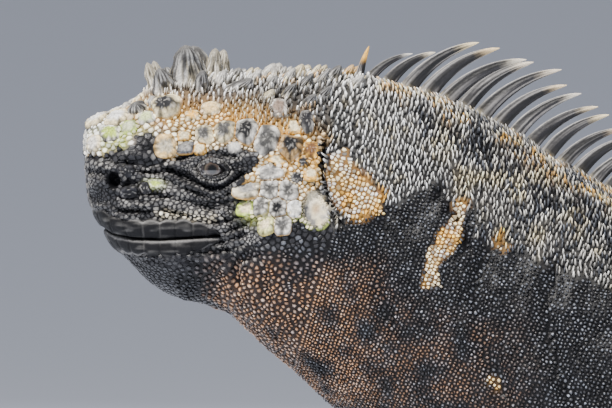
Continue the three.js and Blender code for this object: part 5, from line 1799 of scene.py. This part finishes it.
for ball, spot, aside in eyes:
    dress(ball, eye_finish(f"{ball.name} wet", spot, aside))
print("eyes dressed")

# %% [markdown]
# ## Studio
# A pale floor, a soft lamp from the front left and above, weaker ones from the right and behind and
# a pale world. The camera looks level across the animal's left side from two metres, through a long
# lens. The floor is a shallow bowl: it is flat under the animal and its far edge rises past the
# camera's height all round, so that no horizon cuts through the picture.

# %% Floor, lights and camera
VIEW = {"wide": 0.19584, "away": 2.0, "behind": 71.04, "high": 166.12}
BOWL = {"flat": 3.0, "edge": 6.5, "rise": 0.7, "below": 0.0002}
SENSOR = 36
bpy.ops.object.select_all(action="DESELECT")
bpy.ops.mesh.primitive_grid_add(x_subdivisions=64, y_subdivisions=24, size=1)
floor = bpy.context.object
floor.name = floor.data.name = "floor"
for vertex in floor.data.vertices:
    turn, out = (vertex.co.x + 0.5) * 2 * math.pi, (vertex.co.y + 0.5) * BOWL["edge"]
    climb = max(out - BOWL["flat"], 0) / (BOWL["edge"] - BOWL["flat"])
    up = BOWL["rise"] * climb**2 - BOWL["below"]
    vertex.co = (out * math.cos(turn), out * math.sin(turn), up)
choose(floor)
bpy.ops.object.mode_set(mode="EDIT")
bpy.ops.mesh.select_all(action="SELECT")
bpy.ops.mesh.remove_doubles(threshold=0.0001)
bpy.ops.mesh.normals_make_consistent(inside=True)
bpy.ops.object.mode_set(mode="OBJECT")
bpy.ops.object.shade_smooth()
floor_paint, tree, shader = new_material("pale floor")
feed(tree, shader, {"Base Color": (0.72, 0.76, 0.86, 1), "Roughness": 0.9})
dress(floor, floor_paint)

world = bpy.data.worlds.new("studio")
bpy.context.scene.world = world
world.use_nodes = True
tree = world.node_tree
feed(tree, tree.nodes["Background"], {"Color": (0.7, 0.73, 0.81, 1), "Strength": 0.4})


def soft_lamp(name, spot, size, power, shade, aim=(-0.3, 0, 0.12)):
    """Square area lamp that looks at the animal."""
    data = bpy.data.lights.new(name, "AREA")
    data.size, data.energy, data.color = size, power, shade
    lamp = bpy.data.objects.new(name, data)
    bpy.context.collection.objects.link(lamp)
    lamp.location = spot
    lamp.rotation_euler = (Vector(aim) - Vector(spot)).to_track_quat("-Z", "Y").to_euler()


soft_lamp("key", (-1.25, -1.2, 2.1), 0.32, 165, (1, 0.97, 0.93))
soft_lamp("fill", (1.4, -1.5, 0.9), 1.2, 10, (0.9, 0.95, 1))
soft_lamp("back", (0.2, 1.9, 1.5), 1.0, 48, (0.95, 0.97, 1))

camera_data = bpy.data.cameras.new("camera")
camera_data.sensor_width = SENSOR
camera_data.lens = SENSOR * VIEW["away"] / VIEW["wide"]
camera_data.clip_end = 50
camera = bpy.data.objects.new("camera", camera_data)
bpy.context.collection.objects.link(camera)
camera.location = ((VIEW["behind"] + SHIFT[0]) * MM, -VIEW["away"], VIEW["high"] * MM)
camera.rotation_euler = (math.pi / 2, 0, 0)
bpy.context.scene.camera = camera
camera_at = [round(v, 3) for v in camera.location]
print("camera at", camera_at, "with a lens of", round(camera_data.lens), "mm")

# %% [markdown]
# ## Frame
# Last, every piece is attached to what it rides on, and the solids it stands for are hidden. The skin
# stands for all the flesh. Both boxes are kept, so that the sizes can be compared.

# %% Frame calls
flesh = [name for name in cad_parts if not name.startswith("eye_")]
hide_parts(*flesh)
floor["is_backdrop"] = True
for piece in [skin, *coats, crest, claws]:
    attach(piece, "root")
for piece in (head_plates, crown_horns):
    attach(piece, "root")
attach(lids, "root")
for ball, _, aside in eyes:
    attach(ball, "root")
    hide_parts("eye_left" if aside < 0 else "eye_right")
visual_box = [list(corner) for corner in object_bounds()]
grew = [round((visual_box[i][k] - cad_box[i][k]) / MM, 1) for i in (0, 1) for k in range(3)]
print("the visual box departs from the solids' by", grew, "mm")
